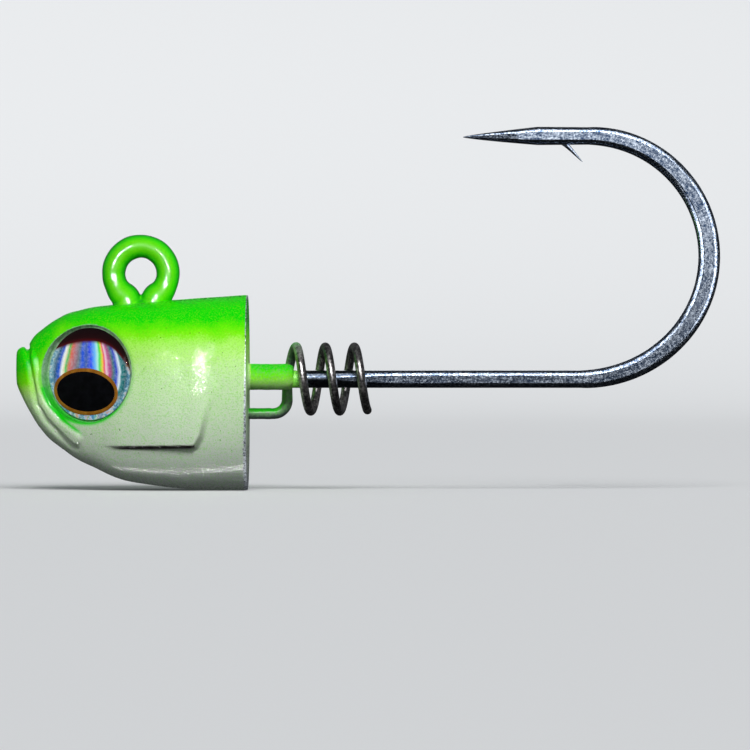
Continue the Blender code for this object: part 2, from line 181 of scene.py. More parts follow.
# Bait keeper
KEEPER_WIRE = 0.44
KEEPER_RADIUS = (keeper_high[2] - keeper_low[2]) / 2
KEEPER_PITCH = 2.9
KEEPER_TURNS = 2.47
KEEPER_START = 4.85
KEEPER_LEG_X = 3.88
KEEPER_TAIL_HEIGHT = -2.05
KEEPER_TAIL_BEND = 1.4
ROUND_COLUMNS = 24

# Eyes
SOCKET_RADIUS = 4.85
SOCKET_REACH = 6.0
FOIL_RADIUS = 4.58
PUPIL_HALF_WIDTH = 3.6
PUPIL_HALF_HEIGHT = 2.3
PUPIL_OFFSET = (-0.38, -1.75)
PUPIL_ROLL = math.radians(-4.5)
RING_WIDTH = 0.33
DOME_RADIUS = 4.72
DOME_RISE = 0.95
EYE_COLUMNS = 128


# ---------------------------------------------------------------- shapes


def smooth_value(knots, distance):
    """Values on a smooth curve through (distance, value) knots, which rounds off at the nose."""
    at = np.sqrt([knot[0] for knot in knots])
    values = np.array([knot[1] for knot in knots], float)
    t = np.clip(np.sqrt(np.maximum(distance, 0)), at[0], at[-1])
    i = np.clip(np.searchsorted(at, t, side="right") - 1, 0, len(at) - 2)
    before, after = np.maximum(np.arange(len(at)) - 1, 0), np.minimum(np.arange(len(at)) + 1, len(at) - 1)
    slopes = (values[after] - values[before]) / (at[after] - at[before])
    step = at[i + 1] - at[i]
    u = (t - at[i]) / step
    start = values[i] + slopes[i] * step * u
    end = values[i + 1] - slopes[i + 1] * step * (1 - u)
    share = u * u * (3 - 2 * u)
    return start * (1 - share) + end * share


def ease(low, high, value):
    """0 below low, 1 above high, and a smooth step between."""
    t = np.clip((value - low) / (high - low), 0, 1)
    return t * t * (3 - 2 * t)


def bell(value, width):
    """1 where the value is 0, fading smoothly to nothing over about twice the width."""
    return np.exp(-((value / width) ** 2))


def line_distance(points, line):
    """Distance of (x, z) points to an open line, and the share of its length at the nearest place."""
    line = np.array(line, float)
    lengths = np.linalg.norm(np.diff(line, axis=0), axis=1)
    run = np.concatenate(([0], np.cumsum(lengths)))
    best, share = np.full(len(points), np.inf), np.zeros(len(points))
    for i, (a, b) in enumerate(zip(line, line[1:])):
        t = np.clip(((points - a) @ (b - a)) / lengths[i] ** 2, 0, 1)
        gap = np.linalg.norm(points - a - t[:, None] * (b - a), axis=1)
        nearer = gap < best
        best[nearer] = gap[nearer]
        share[nearer] = (run[i] + t[nearer] * lengths[i]) / run[-1]
    return best, share


def outline_depth(points, outline):
    """How far (x, z) points lie inside a closed outline; negative outside it."""
    outline = np.array(outline, float)
    gap, _ = line_distance(points, np.vstack((outline, outline[:1])))
    inside = np.zeros(len(points), bool)
    for a, b in zip(outline, np.roll(outline, -1, axis=0)):
        crosses = (a[1] > points[:, 1]) != (b[1] > points[:, 1])
        with np.errstate(divide="ignore", invalid="ignore"):
            x = a[0] + (points[:, 1] - a[1]) / (b[1] - a[1]) * (b[0] - a[0])
        inside ^= crosses & (points[:, 0] < x)
    return np.where(inside, gap, -gap)


def roughness_field(points, size, seed):
    """Smooth random values from -1 to 1, with features of the given size in millimetres."""
    shift = Vector((seed * 17.3, seed * 5.1, seed * 9.7))
    return np.array([noise.noise(Vector(p) / size + shift) for p in points])


def grid_faces(rows, columns, wrap=True, first=0):
    """Quads between consecutive rows of a grid whose vertices are stored row by row."""
    faces = []
    for r in range(rows - 1):
        for c in range(columns if wrap else columns - 1):
            d = (c + 1) % columns
            a, b = first + r * columns, first + (r + 1) * columns
            faces.append((a + c, a + d, b + d, b + c))
    return faces


def make_mesh(name, points, faces, flip=False):
    """A mesh in metres from points in millimetres."""
    mesh = bpy.data.meshes.new(name)
    if flip:
        faces = [face[::-1] for face in faces]
    mesh.from_pydata((np.asarray(points) * MM).tolist(), [], faces)
    mesh.update()
    return mesh


def face_outwards(mesh):
    """Turns a closed mesh's faces outwards."""
    bm = bmesh.new()
    bm.from_mesh(mesh)
    bmesh.ops.recalc_face_normals(bm, faces=bm.faces)
    bm.to_mesh(mesh)
    bm.free()


def link(obj):
    """Puts an object into the scene and returns it."""
    bpy.context.scene.collection.objects.link(obj)
    return obj


def make_piece(name, mesh, material, nodes, sharp=60):
    """Puts a finished mesh into the scene as a piece of the jig, standing for CAD nodes."""
    obj = link(bpy.data.objects.new(name, mesh))
    mesh.materials.clear()
    mesh.materials.append(material)
    mesh.shade_smooth()
    mesh.set_sharp_from_angle(angle=math.radians(sharp))
    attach(obj, "root")
    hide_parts(*nodes)
    pieces[name] = obj


def set_attribute(mesh, name, values):
    """Stores a number or a vector for each vertex, for the materials."""
    values = np.asarray(values, np.float32)
    vector = values.ndim == 2
    attribute = mesh.attributes.new(name, "FLOAT_VECTOR" if vector else "FLOAT", "POINT")
    attribute.data.foreach_set("vector" if vector else "value", values.ravel())


def combined(mesh, tool_mesh, operation):
    """The mesh that a Boolean of two meshes gives."""
    objects = [link(bpy.data.objects.new("boolean", part)) for part in (mesh, tool_mesh)]
    modifier = objects[0].modifiers.new("boolean", "BOOLEAN")
    modifier.operation = operation
    modifier.object = objects[1]
    modifier.solver = "EXACT"
    evaluated = objects[0].evaluated_get(bpy.context.evaluated_depsgraph_get())
    result = bpy.data.meshes.new_from_object(evaluated)
    for obj in objects:
        bpy.data.objects.remove(obj)
    return result


def arc(centre, radius, start, end, steps):
    """Points (x, z) on an arc. radius may be a pair, for an ellipse's half width and half height."""
    across, up = radius if isinstance(radius, tuple) else (radius, radius)
    angles = np.linspace(start, end, steps + 1)
    return np.column_stack((centre[0] + across * np.cos(angles), centre[1] + up * np.sin(angles)))


def evenly(points, spacing, *values):
    """Points and their values resampled at an even spacing along the line."""
    run = np.concatenate(([0], np.cumsum(np.linalg.norm(np.diff(points, axis=0), axis=1))))
    at = np.linspace(0, run[-1], int(run[-1] / spacing) + 1)
    columns = [np.interp(at, run, points[:, k]) for k in range(points.shape[1])]
    return (np.column_stack(columns), at, *(np.interp(at, run, value) for value in values))


def frames_along(points):
    """Two unit vectors square to the line at each point, which turn as little as they can."""
    tangents = np.gradient(points, axis=0)
    tangents /= np.linalg.norm(tangents, axis=1)[:, None]
    normals = np.zeros_like(points)
    start = np.array((0.0, 1.0, 0.0))
    normals[0] = start - tangents[0] * (start @ tangents[0])
    for i in range(1, len(points)):
        normals[i] = normals[i - 1] - tangents[i] * (normals[i - 1] @ tangents[i])
        normals[i] /= np.linalg.norm(normals[i])
    return normals, np.cross(tangents, normals)


def round_section(radius):
    """Offsets of round rings with the given radii, in two directions."""
    angles = np.linspace(0, math.tau, ROUND_COLUMNS, endpoint=False)
    return radius[:, None] * np.cos(angles), radius[:, None] * np.sin(angles)


def sweep(name, points, first, second, u, v, along):
    """A closed tube: at each point, a ring offset by u along first and by v along second.

    The attribute wire holds the distance along the tube and the place round it.
    """
    rows, columns = u.shape
    ring = points[:, None] + first[:, None] * u[..., None] + second[:, None] * v[..., None]
    faces = grid_faces(rows, columns)
    faces.append(tuple(range(columns)))
    faces.append(tuple(range((rows - 1) * columns, rows * columns))[::-1])
    mesh = make_mesh(name, ring.reshape(-1, 3), faces)
    around = np.tile(np.arange(columns) / columns, rows)
    set_attribute(mesh, "wire", np.column_stack((np.repeat(along, columns), around, around * 0)))
    face_outwards(mesh)
    return mesh


# ---------------------------------------------------------------- materials


class Value:
    """What a node gives. Adding, multiplying and so on make the nodes that do it."""

    def __init__(self, nodes, socket):
        self.nodes = nodes
        self.socket = socket

    def __add__(self, other):
        return self.nodes.math("ADD", self, other)

    def __sub__(self, other):
        return self.nodes.math("SUBTRACT", self, other)

    def __rsub__(self, other):
        return self.nodes.math("SUBTRACT", other, self)

    def __mul__(self, other):
        return self.nodes.math("MULTIPLY", self, other)

    def __truediv__(self, other):
        return self.nodes.math("DIVIDE", self, other)

    def __pow__(self, other):
        return self.nodes.math("POWER", self, other)

    def at_least(self, other):
        return self.nodes.math("MAXIMUM", self, other)

    def clamped(self):
        """The same, kept between 0 and 1."""
        self.socket.node.use_clamp = True
        return self


class Nodes:
    """Short calls for building the node tree of a material or a world, which has one shader."""

    def __init__(self, owner, shader):
        owner.use_nodes = True
        self.owner = owner
        self.tree = owner.node_tree
        self.shader = self.tree.nodes[shader]
        self.place = self.add("TexCoord", "Object")

    def add(self, kind, output=0, **inputs):
        """One output of a new node, whose settings and inputs are given by name."""
        node = self.tree.nodes.new(f"ShaderNode{kind}")
        for key, value in inputs.items():
            if hasattr(node, key):
                setattr(node, key, value)
            else:
                self.feed(node, key.replace("_", " "), value)
        return Value(self, node.outputs[output])

    def feed(self, node, key, value):
        """Sets a node's input, or links it to another node's output."""
        socket = node.inputs[key]
        if isinstance(value, Value):
            self.tree.links.new(value.socket, socket)
        else:
            socket.default_value = value

    def set(self, **inputs):
        """Sets or links the shader's inputs."""
        for key, value in inputs.items():
            self.feed(self.shader, key.replace("_", " "), value)

    def math(self, operation, a, b=0.0):
        result = self.add("Math", operation=operation)
        self.feed(result.socket.node, 0, a)
        self.feed(result.socket.node, 1, b)
        return result

    def split(self, vector):
        """A vector's X, Y and Z."""
        node = self.add("SeparateXYZ", Vector=vector).socket.node
        return [Value(self, output) for output in node.outputs]

    def attribute(self, name, output="Fac"):
        return self.add("Attribute", output, attribute_name=name)

    def ramp(self, factor, *stops):
        """A colour ramp through (position, colour) stops, or a grey one through (position, value)."""
        result = self.add("ValToRGB", Fac=factor)
        elements = result.socket.node.color_ramp.elements
        while len(elements) < len(stops):
            elements.new(0.5)
        for element, (position, colour) in zip(elements, stops):
            element.position = position
            element.color = colour if isinstance(colour, tuple) else (colour, colour, colour, 1)
        return result

    def mix(self, factor, a, b):
        """Colour a where the factor is 0, and b where it is 1."""
        result = self.add("Mix", 2, data_type="RGBA")
        for index, value in ((0, factor), (6, a), (7, b)):
            self.feed(result.socket.node, index, value)
        return result

    def noise(self, size_mm, detail=2.0, roughness=0.5, distortion=0.0):
        """Noise in the object's own space, with features of about size_mm."""
        look = {"Detail": detail, "Roughness": roughness, "Distortion": distortion}
        return self.add("TexNoise", "Fac", Vector=self.place, Scale=1 / (size_mm * MM), **look)

    def bump(self, height, strength, distance_mm, **normal):
        """A normal tilted by a height, on top of the Normal given, if any."""
        return self.add("Bump", Strength=strength, Distance=distance_mm * MM, Height=height, **normal)


def material_nodes(name):
    """The nodes of a new material."""
    return Nodes(bpy.data.materials.new(name), "Principled BSDF")


def srgb(red, lit_and_shaded_paint, blue):
    """A linear colour from 0 to 255 display values."""
    levels = [value / 255 for value in (red, lit_and_shaded_paint, blue)]
    return (*[c / 12.92 if c <= 0.04045 else ((c + 0.055) / 1.055) ** 2.4 for c in levels], 1.0)


def paint_coat(n, on_collar, at_nose):
    """The sprayed paint's colour: white below, green above and on the nose, with dust, flecks and specks, and
    painted shade darkening the collar's underside.
    """
    _, _, z = n.split(n.place)
    above_chin = ((z + 3.5 * MM) / (4.5 * MM)).clamped()
    height = z + on_collar * (z * 1.9 + 2.6 * MM - z) + at_nose * above_chin * (4.8 * MM)
    drift = (n.noise(2.4, 3, 0.55) - 0.5) * (1.8 * MM)
    spread = (n.noise(0.17, 2, 0.7) - 0.5) * (1.5 * MM)
    low, high = head_low[2], head_high[2]
    share = (height + drift + spread - low * MM) / ((high - low) * MM)
    shades = (
        (-8.5, srgb(196, 203, 198)),
        (-5.0, srgb(200, 214, 194)),
        (-1.5, srgb(200, 226, 184)),
        (1.5, srgb(198, 238, 168)),
        (3.8, srgb(182, 241, 118)),
        (5.0, srgb(164, 242, 84)),
        (5.7, srgb(128, 238, 20)),
        (6.4, srgb(92, 232, 1)),
        (7.4, srgb(0, 216, 0)),
    )
    coat = n.ramp(share, *[((at - low) / (high - low), colour) for at, colour in shades])
    # Painted shade: the collar darkened to grey-green towards its underside.
    collar_underside_shade = ((1.5 * MM - z) / (1.0 * MM)).clamped()
    coat = n.mix(collar_underside_shade * on_collar * 0.8, coat, srgb(92, 118, 88))
    dust = n.ramp(n.noise(0.25, 4, 0.7), (0.44, 0.0), (0.6, 0.8))
    coat = n.mix(dust * on_collar * 0.6, coat, srgb(130, 190, 110))
    flecks = n.ramp(n.noise(0.15, 2, 0.6), (0.5, 0.0), (0.62, 0.9))
    coat = n.mix(flecks, coat, n.mix(0.5, coat, srgb(120, 216, 20)))
    pale = n.ramp(share, ((2.5 - low) / (high - low), 1.0), ((5.5 - low) / (high - low), 0.0))
    chalk = n.ramp(n.noise(0.19, 2, 0.6), (0.38, 0.6), (0.48, 0.0))
    coat = n.mix(chalk * pale, coat, n.mix(0.35, coat, srgb(204, 202, 206)))
    specks = n.ramp(n.noise(0.3, 1, 0.5), (0.77, 0.0), (0.79, 0.7))
    return n.mix(specks, coat, srgb(58, 82, 40))


def bare_lead(n):
    """1 where the paint stops raggedly short of the rear face's edge and lead shows."""
    _, _, z = n.split(n.place)
    wear = (n.noise(0.7, 3, 0.6) - 0.5) * 1.5
    nicks = (n.noise(0.16, 2, 0.6) - 0.5) * 0.8
    edge = ((1.0 * MM - z) * (0.018 / MM)).at_least(-0.06) + 0.14
    gap = edge * (wear + nicks + 1.0) - n.attribute("rim")
    return (gap * 12.0 + 0.5).clamped()


def paint_material():
    """Fluorescent green sprayed from above over a white base, under a clear coat.

    The attributes hold a deeper green round the eyes' rims and beside the cheek ridge, painted shade under the
    gill's edge and behind its corner, the eyes' hollows smeared with glue (socket), the distance from the rear
    face's edge (rim) and how well the clear coat shines (gloss).
    """
    n = material_nodes("head_paint")
    x, _, _ = n.split(n.place)
    on_collar = n.ramp(x / (0.4 * MM), (0.4, 0.0), (1.0, 1.0))
    at_nose = ((-18.5 * MM - x) / (3.5 * MM)).clamped()
    bare = bare_lead(n)
    smears = n.ramp(n.noise(0.5, 4, 0.7), (0.35, srgb(120, 138, 124)), (0.65, srgb(222, 228, 224)))
    coat = n.mix(n.attribute("socket"), paint_coat(n, on_collar, at_nose), smears)
    coat = n.mix(n.attribute("deeper_green"), coat, srgb(10, 206, 2))
    # Painted shade: the paint darkened under the gill's edge and behind its corner.
    coat = n.mix(n.attribute("under_gill_shade"), coat, srgb(38, 34, 34))
    lead = n.ramp(n.noise(0.2, 3, 0.7), (0.4, srgb(74, 84, 88)), (0.58, srgb(206, 212, 220)))
    sparkle = n.ramp(n.noise(0.26, 2, 0.6), (0.44, 0.08), (0.56, 1.0))
    dull = bare.at_least(on_collar).at_least(at_nose * 0.8)
    n.set(
        Base_Color=n.mix(bare, coat, lead),
        Metallic=bare * 0.5,
        Specular_IOR_Level=0.06,
        Roughness=(bare + on_collar) * 0.18 + 0.32,
        Coat_Weight=n.attribute("gloss") * sparkle * (1.0 - dull * 0.85),
        Coat_Roughness=0.03,
        Coat_IOR=1.5,
    )
    peel = n.bump(n.noise(0.9, 2, 0.5), 0.5, 0.04)
    grain = n.bump(n.noise(0.22, 2, 0.6), 1.0, 0.03, Normal=peel)
    n.set(Normal=grain, Coat_Normal=grain)
    return n.owner


def ring_paint_material():
    """The same green on the ring, with painted light and shade: yellower where it faces either side and a
    deeper green round the edges, where it turns away.
    """
    n = material_nodes("ring_paint")
    _, sideways, _ = n.split(n.add("NewGeometry", "Normal"))
    speckle = n.noise(0.2, 3, 0.6)
    # Painted light and shade: the colour follows which way the surface faces, yellow-green to either side and
    # deep green at the edges.
    painted_light_level = n.math("ABSOLUTE", sideways) ** 1.6 + (speckle - 0.5) * 0.35
    coat = n.ramp(
        painted_light_level,
        (0.0, srgb(0, 128, 2)),
        (0.3, srgb(8, 184, 2)),
        (0.62, srgb(58, 214, 2)),
        (1.0, srgb(112, 232, 10)),
    )
    n.set(Base_Color=coat, Roughness=0.35, Specular_IOR_Level=0.1)
    peel = n.bump(n.noise(0.9, 2, 0.5), 0.12, 0.03)
    n.set(Coat_Weight=1.0, Coat_Roughness=0.03, Coat_IOR=1.5, Coat_Normal=peel)
    n.set(Normal=n.bump(speckle, 0.2, 0.02, Normal=peel))
    return n.owner


def steel_nodes(name, dark, light, rough, grain_mm):
    """Nodes and colour of steel wire: fine grain, scratches along it and hairlines across it."""
    n = material_nodes(name)
    run, turn, _ = n.split(n.attribute("wire", "Vector"))

    def stretched(along, around):
        vector = n.add("CombineXYZ", X=run * along, Y=turn * around)
        return n.add("TexNoise", "Fac", Scale=1.0, Detail=3.0, Roughness=0.65, Vector=vector)

    lines = stretched(0.9, 40.0)
    hairs = n.ramp(stretched(5.0, 1.5), (0.64, 0.0), (0.68, 1.0))
    grain = n.noise(grain_mm, 4, 0.75, 0.4)
    patches = n.noise(2.6, 2, 0.5)
    tone = grain * 0.62 + lines * 0.28 + patches * 0.1
    between = tuple(a + (b - a) * 0.3 for a, b in zip(dark, light))
    coat = n.ramp(tone, (0.42, dark), (0.5, between), (0.59, light))
    dents = n.bump(grain, 0.3, 0.012, Normal=n.bump(patches, 0.4, 0.08))
    n.set(Roughness=(grain - 0.5) * 0.4 + rough, Normal=n.bump(lines + hairs, 0.25, 0.008, Normal=dents))
    return n, n.mix(hairs * 0.6, coat, light)


def hook_material():
    """Forged steel, with painted shade darkening the shank near the head and among the keeper's turns, and
    green misted over the start of the shank.
    """
    n, steel = steel_nodes("hook_steel", srgb(36, 60, 92), srgb(216, 228, 244), 0.2, 0.2)
    x, _, z = n.split(n.place)
    on_shank = n.math("LESS_THAN", z, (SHANK_HEIGHT + 1.5) * MM)
    reach = ((COLLAR_END + 1.1) * MM - x) / (1.1 * MM)
    mist = (n.noise(0.16, 3, 0.7) - 0.5) * 3.2
    covered = (reach * 1.2 + mist).clamped() * on_shank
    # Painted shade: the shank darkened near the head and among the keeper's turns, where they shade it.
    shade_near_head = ((14.0 * MM - x) / (5.0 * MM)).clamped()
    steel = n.mix(shade_near_head * on_shank * 0.8, steel, srgb(40, 46, 54))
    n.set(Base_Color=n.mix(covered, steel, srgb(120, 200, 70)), Metallic=1.0 - covered)
    return n.owner


def keeper_material():
    """Stainless wire with the head's green on its tail, painted with light and shade: bright green on top, grey
    underneath.
    """
    n, steel = steel_nodes("keeper_steel", srgb(112, 108, 110), srgb(222, 218, 216), 0.33, 0.4)
    painted = n.attribute("painted")
    _, _, upward = n.split(n.add("NewGeometry", "Normal"))
    # Painted light and shade: the tail's paint green where it faces up, grey where it faces down.
    painted_light_level = upward * 0.5 + 0.5 + (n.noise(0.3, 3, 0.6) - 0.5) * 0.8
    lit_and_shaded_paint = n.ramp(
        painted_light_level,
        (0.2, srgb(60, 72, 66)),
        (0.5, srgb(92, 128, 86)),
        (0.7, srgb(50, 170, 26)),
        (0.88, srgb(4, 170, 2)),
    )
    n.set(Base_Color=n.mix(painted, steel, lit_and_shaded_paint), Metallic=1.0 - painted)
    n.set(Coat_Weight=painted * 0.3, Coat_Roughness=0.15)
    return n.owner


def foil_rainbow(n, u, v):
    """The foil's upright rainbow bands, bowed outwards and flecked with silver."""
    wobble = (n.noise(1.6, 2, 0.5) - 0.5) * 0.05
    band = (u * (v * v * 0.75 + 1.0) + 1.0) * 0.5 + wobble
    # The white stops at 0.155 and 0.875 stand partly for the film's own bands and partly for glints of light on
    # it: painted highlights.
    rainbow = n.ramp(
        band,
        (0.02, srgb(120, 170, 190)),
        (0.07, srgb(40, 88, 120)),
        (0.125, srgb(36, 90, 210)),
        (0.155, srgb(255, 255, 250)),
        (0.18, srgb(250, 235, 190)),
        (0.205, srgb(60, 200, 90)),
        (0.245, srgb(235, 110, 90)),
        (0.31, srgb(170, 120, 130)),
        (0.36, srgb(96, 116, 130)),
        (0.405, srgb(40, 90, 225)),
        (0.46, srgb(70, 100, 170)),
        (0.52, srgb(30, 70, 250)),
        (0.575, srgb(110, 190, 255)),
        (0.61, srgb(190, 250, 235)),
        (0.64, srgb(0, 235, 20)),
        (0.668, srgb(255, 215, 60)),
        (0.69, srgb(255, 60, 110)),
        (0.71, srgb(255, 210, 220)),
        (0.74, srgb(200, 60, 140)),
        (0.79, srgb(70, 120, 120)),
        (0.835, srgb(36, 60, 200)),
        (0.875, srgb(235, 245, 250)),
        (0.9, srgb(30, 130, 130)),
        (0.96, srgb(14, 84, 84)),
    )
    flecks = n.ramp(n.noise(0.32, 3, 0.7), (0.42, 0.0), (0.66, 0.6))
    return n.mix(flecks, rainbow, n.mix(0.5, rainbow, srgb(190, 200, 210)))


def foil_material():
    """Holographic film: rainbow bands, a painted shade darkening its top, silvery low down and at the rim."""
    n = material_nodes("eye_foil")
    u, v, _ = n.split(n.attribute("eye", "Vector"))
    # Painted shade: the film darkened to red-brown and near black across its top.
    top_shade_line = 0.69 - u * u * 0.25 - u.at_least(0.0) ** 3.0 * 0.38
    above = v - top_shade_line
    top_shade = n.ramp(above * 9.0 + 0.5, (0.2, 0.0), (0.8, 1.0))
    top_shade_tone = n.ramp(above, (0.0, srgb(90, 10, 16)), (0.1, srgb(34, 6, 9)), (0.3, srgb(14, 4, 6)))
    shaded = n.mix(top_shade, foil_rainbow(n, u, v), top_shade_tone)
    film = n.ramp(
        n.noise(0.55, 3, 0.7),
        (0.34, srgb(60, 110, 150)),
        (0.46, srgb(120, 170, 190)),
        (0.54, srgb(210, 222, 230)),
        (0.6, srgb(220, 150, 130)),
        (0.68, srgb(120, 200, 120)),
    )
    low = (v * -4.0 - 1.6).clamped()
    rim = ((u * u + v * v - 0.78) * 8.0).clamped()
    silver = low.at_least(rim * (1.0 - top_shade))
    n.set(Base_Color=n.mix(silver * 0.8, shaded, film), Metallic=0.1, Roughness=0.35)
    n.set(Specular_IOR_Level=0.2, Normal=n.bump(n.noise(0.25, 2, 0.5), 0.15, 0.02))
    return n.owner


def ink_material(name, dark, light):
    """Printed ink with slight unevenness."""
    n = material_nodes(name)
    smear = (n.noise(0.4, 3, 0.7) - 0.5) * 0.3
    n.set(Base_Color=n.ramp(n.noise(0.7, 4, 0.65), (0.4, dark), (0.7, light)))
    n.set(Roughness=smear + 0.4, Specular_IOR_Level=0.08)
    return n.owner


def dome_material():
    """Clear resin: light passes straight through, with a sharp reflection and fine scuffs."""
    n = material_nodes("eye_clear")
    clear = n.add("BsdfTransparent", Color=(0.97, 0.985, 0.99, 1))
    rough = n.noise(0.8, 5, 0.7, 1.5) * 0.05 + 0.02
    gloss = n.add("BsdfGlossy", Color=(1, 1, 1, 1), Roughness=rough)
    mirror = n.add("Fresnel", IOR=1.42) * (1.0 - n.add("NewGeometry", "Backfacing"))
    mixed = n.add("MixShader")
    for index, value in enumerate((mirror, clear, gloss)):
        n.feed(mixed.socket.node, index, value)
    n.feed(n.tree.nodes["Material Output"], "Surface", mixed)
    return n.owner


def adhesive_material():
    """White foam tape."""
    n = material_nodes("eye_adhesive")
    foam = n.noise(0.3, 3, 0.6)
    shade = n.ramp(foam, (0.35, srgb(196, 198, 200)), (0.65, srgb(226, 228, 230)))
    n.set(Base_Color=shade, Roughness=0.6, Normal=n.bump(foam, 0.4, 0.03))
    return n.owner


# ---------------------------------------------------------------- eye frames


def eye_frame(label):
    """Centre of an eye's foil and its back (towards the tail), up and out directions."""
    points = points_of(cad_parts[f"eye_foil_{label}"].data)
    centre = points.mean(axis=0)
    _, _, axes = np.linalg.svd(points - centre, full_matrices=False)
    out = axes[2] * (1 if axes[2][1] * centre[1] > 0 else -1)
    up = np.array((0.0, 0.0, 1.0))
    back = np.cross(up, out)
    back *= 1 if back[0] > 0 else -1
    return centre, back, up, out


EYES = {label: eye_frame(label) for _, label in SIDES}


def eye_radius(points):
    """Distance of points from the axis of the eye on their own side."""
    nearest = np.full(len(points), np.inf)
    for side, label in SIDES:
        centre, back, up, _ = EYES[label]
        offset = points - centre
        radius = np.hypot(offset @ back, offset @ up)
        nearest = np.where(points[:, 1] * side > 0, radius, nearest)
    return nearest


# ---------------------------------------------------------------- head casting


def head_section(distance):
    """The head's half width, widest line, crown, belly and squareness at a distance behind the nose."""
    lines = (HALF_WIDTH, WIDEST, CROWN, BELLY, SQUARENESS)
    return [float(smooth_value(knots, distance)) for knots in lines]


def head_rings():
    """The head's plain skin as rings of points, without its details: top, left side, bottom, right side."""
    share = (np.arange(1, HEAD_STATIONS + 1) / HEAD_STATIONS) ** STATION_CROWDING
    fine = np.linspace(math.pi / 2, -math.pi / 2, 1200)
    rings = []
    for distance in share * HEAD_LENGTH:
        width, middle, crown, belly, power = head_section(distance)
        across = width * np.abs(np.cos(fine)) ** (2 / power)
        rise = np.sign(np.sin(fine)) * np.abs(np.sin(fine)) ** (2 / power)
        up = middle + np.where(rise > 0, (crown - middle) * rise, (middle - belly) * rise)
        step = np.hypot(np.diff(across), np.diff(up))
        middle_up = (up[1:] + up[:-1]) / 2
        near_edge = bell(middle_up - GILL_CORNER[1], 0.6) * ease(7, 9, distance)
        near_seam = bell((across[1:] + across[:-1]) / 2, 0.5)
        run = np.concatenate(([0], np.cumsum(step * (1 + 1.3 * near_edge + 0.8 * near_seam))))
        at = np.linspace(0, run[-1], HALF_RING + 1)
        y, z = np.interp(at, run, across), np.interp(at, run, up)
        ring = np.column_stack((np.full(HALF_RING + 1, distance - HEAD_LENGTH), -y, z))
        mirrored = ring[-2:0:-1] * (1, -1, 1)
        rings.append(np.vstack((ring, mirrored)))
    return np.array(rings)


def grid_normals(rings):
    """Outward unit normals of a grid of closed rings."""
    along = np.gradient(rings, axis=0)
    around = np.roll(rings, -1, axis=1) - np.roll(rings, 1, axis=1)
    normals = np.cross(around, along)
    normals /= np.maximum(np.linalg.norm(normals, axis=2), 1e-9)[..., None]
    outward = rings - rings.mean(axis=1, keepdims=True)
    return normals * np.sign((normals * outward).sum(axis=2).mean())


def along_gill(side):
    """0 at the front of the gill's lower edge and 1 at its corner."""
    return np.clip((side[:, 0] - GILL[0][0]) / (GILL_CORNER[0] - GILL[0][0]), 0, 1)


def head_relief(points):
    """Height in millimetres of the head's details above its plain skin."""
    side = points[:, (0, 2)]
    gap, share = line_distance(side, CREASE)
    crease_x = np.interp(-side[:, 1], [-p[1] for p in CREASE], [p[0] for p in CREASE])
    lip = (side[:, 0] < crease_x) & (side[:, 1] > CREASE[-1][1])
    relief = -(CREASE_DEPTH + 0.1 * ease(0.2, 0.5, share)) * bell(gap, 0.2) * ease(1.02, 0.9, share)
    relief += LIP_RISE * lip * ease(0.1, 0.5, gap) * ease(1.0, 0.7, share)
    relief += CHEEK_RISE * ease(-0.08, 0.45, outline_depth(side, CHEEK_RIDGE))
    depth = outline_depth(side, GILL)
    along = along_gill(side)
    down = np.clip((GILL_TOP - side[:, 1]) / (GILL_TOP - GILL_CORNER[1]), 0, 1) ** 1.3
    rear = ease(-5.6, -4.6, side[:, 0])
    wall = ease(-0.12 - 0.55 * rear, 0.1 + 0.02 * rear, depth)
    relief += GILL_RISE * along**0.8 * down * wall
    under = ease(-4.3, -5.0, side[:, 1]) * ease(0.03, 0.2, along) * ease(1.02, 0.98, along)
    relief -= GILL_UNDERCUT * bell(depth + 0.3, 0.25) * under
    relief -= SOCKET_GROOVE * bell(eye_radius(points) - SOCKET_RADIUS, 0.2)
    relief += PARTING_RIDGE * bell(points[:, 1], 0.13)
    return relief + 0.02 * roughness_field(points, 1.7, 1) + 0.006 * roughness_field(points, 0.45, 2)


def collar_rings(rim):
    """Rings that close the head: over the flat rear face, out along the collar and round its end."""
    angle = np.arctan2(rim[:, 2] - COLLAR_HEIGHT, rim[:, 1])
    circle = np.column_stack((np.zeros(len(rim)), np.cos(angle), np.sin(angle)))
    centre = np.array((0, 0, COLLAR_HEIGHT))
    foot = centre + circle * (COLLAR_RADIUS + FILLET)
    rings = []
    for share in (0.008, 0.02, 0.06, 0.12, 0.25, 0.4, 0.55, 0.7, 0.85):
        rings.append(rim * (0, 1, 1) * (1 - share) + foot * share)
    stations = []
    for a in np.linspace(0, math.pi / 2, 6):
        stations.append((FILLET * (1 - math.cos(a)), COLLAR_RADIUS + FILLET * (1 - math.sin(a))))
    taper_start = COLLAR_END - COLLAR_TAPER
    stations += [(x, COLLAR_RADIUS) for x in np.arange(0.5, taper_start, 0.25)]
    for a in np.linspace(0, 1.4, 8):
        stations.append((taper_start + COLLAR_TAPER * math.sin(a), COLLAR_RADIUS - 0.42 * (1 - math.cos(a))))
    stations += [(COLLAR_END, 0.6), (COLLAR_END, 0.25)]
    for x, radius in stations:
        ring = centre + circle * radius + (x, 0, 0)
        worn = 0.03 + 0.05 * ease(COLLAR_END - 1.2, COLLAR_END, x)
        swell = (worn * roughness_field(ring, 0.7, 3) * min(radius, 1))[:, None]
        rings.append(ring + circle * swell + np.array((0.8, 0, 0)) * (x > 0.4) * swell)
    return rings


def closed_body(rings, tip, end):
    """A mesh of rings, closed by a point at each end."""
    rows, columns = rings.shape[:2]
    points = np.vstack((rings.reshape(-1, 3), tip, end))
    faces = grid_faces(rows, columns)
    last = (rows - 1) * columns
    for c in range(columns):
        d = (c + 1) % columns
        faces.append((rows * columns, d, c))
        faces.append((rows * columns + 1, last + c, last + d))
    return points, faces


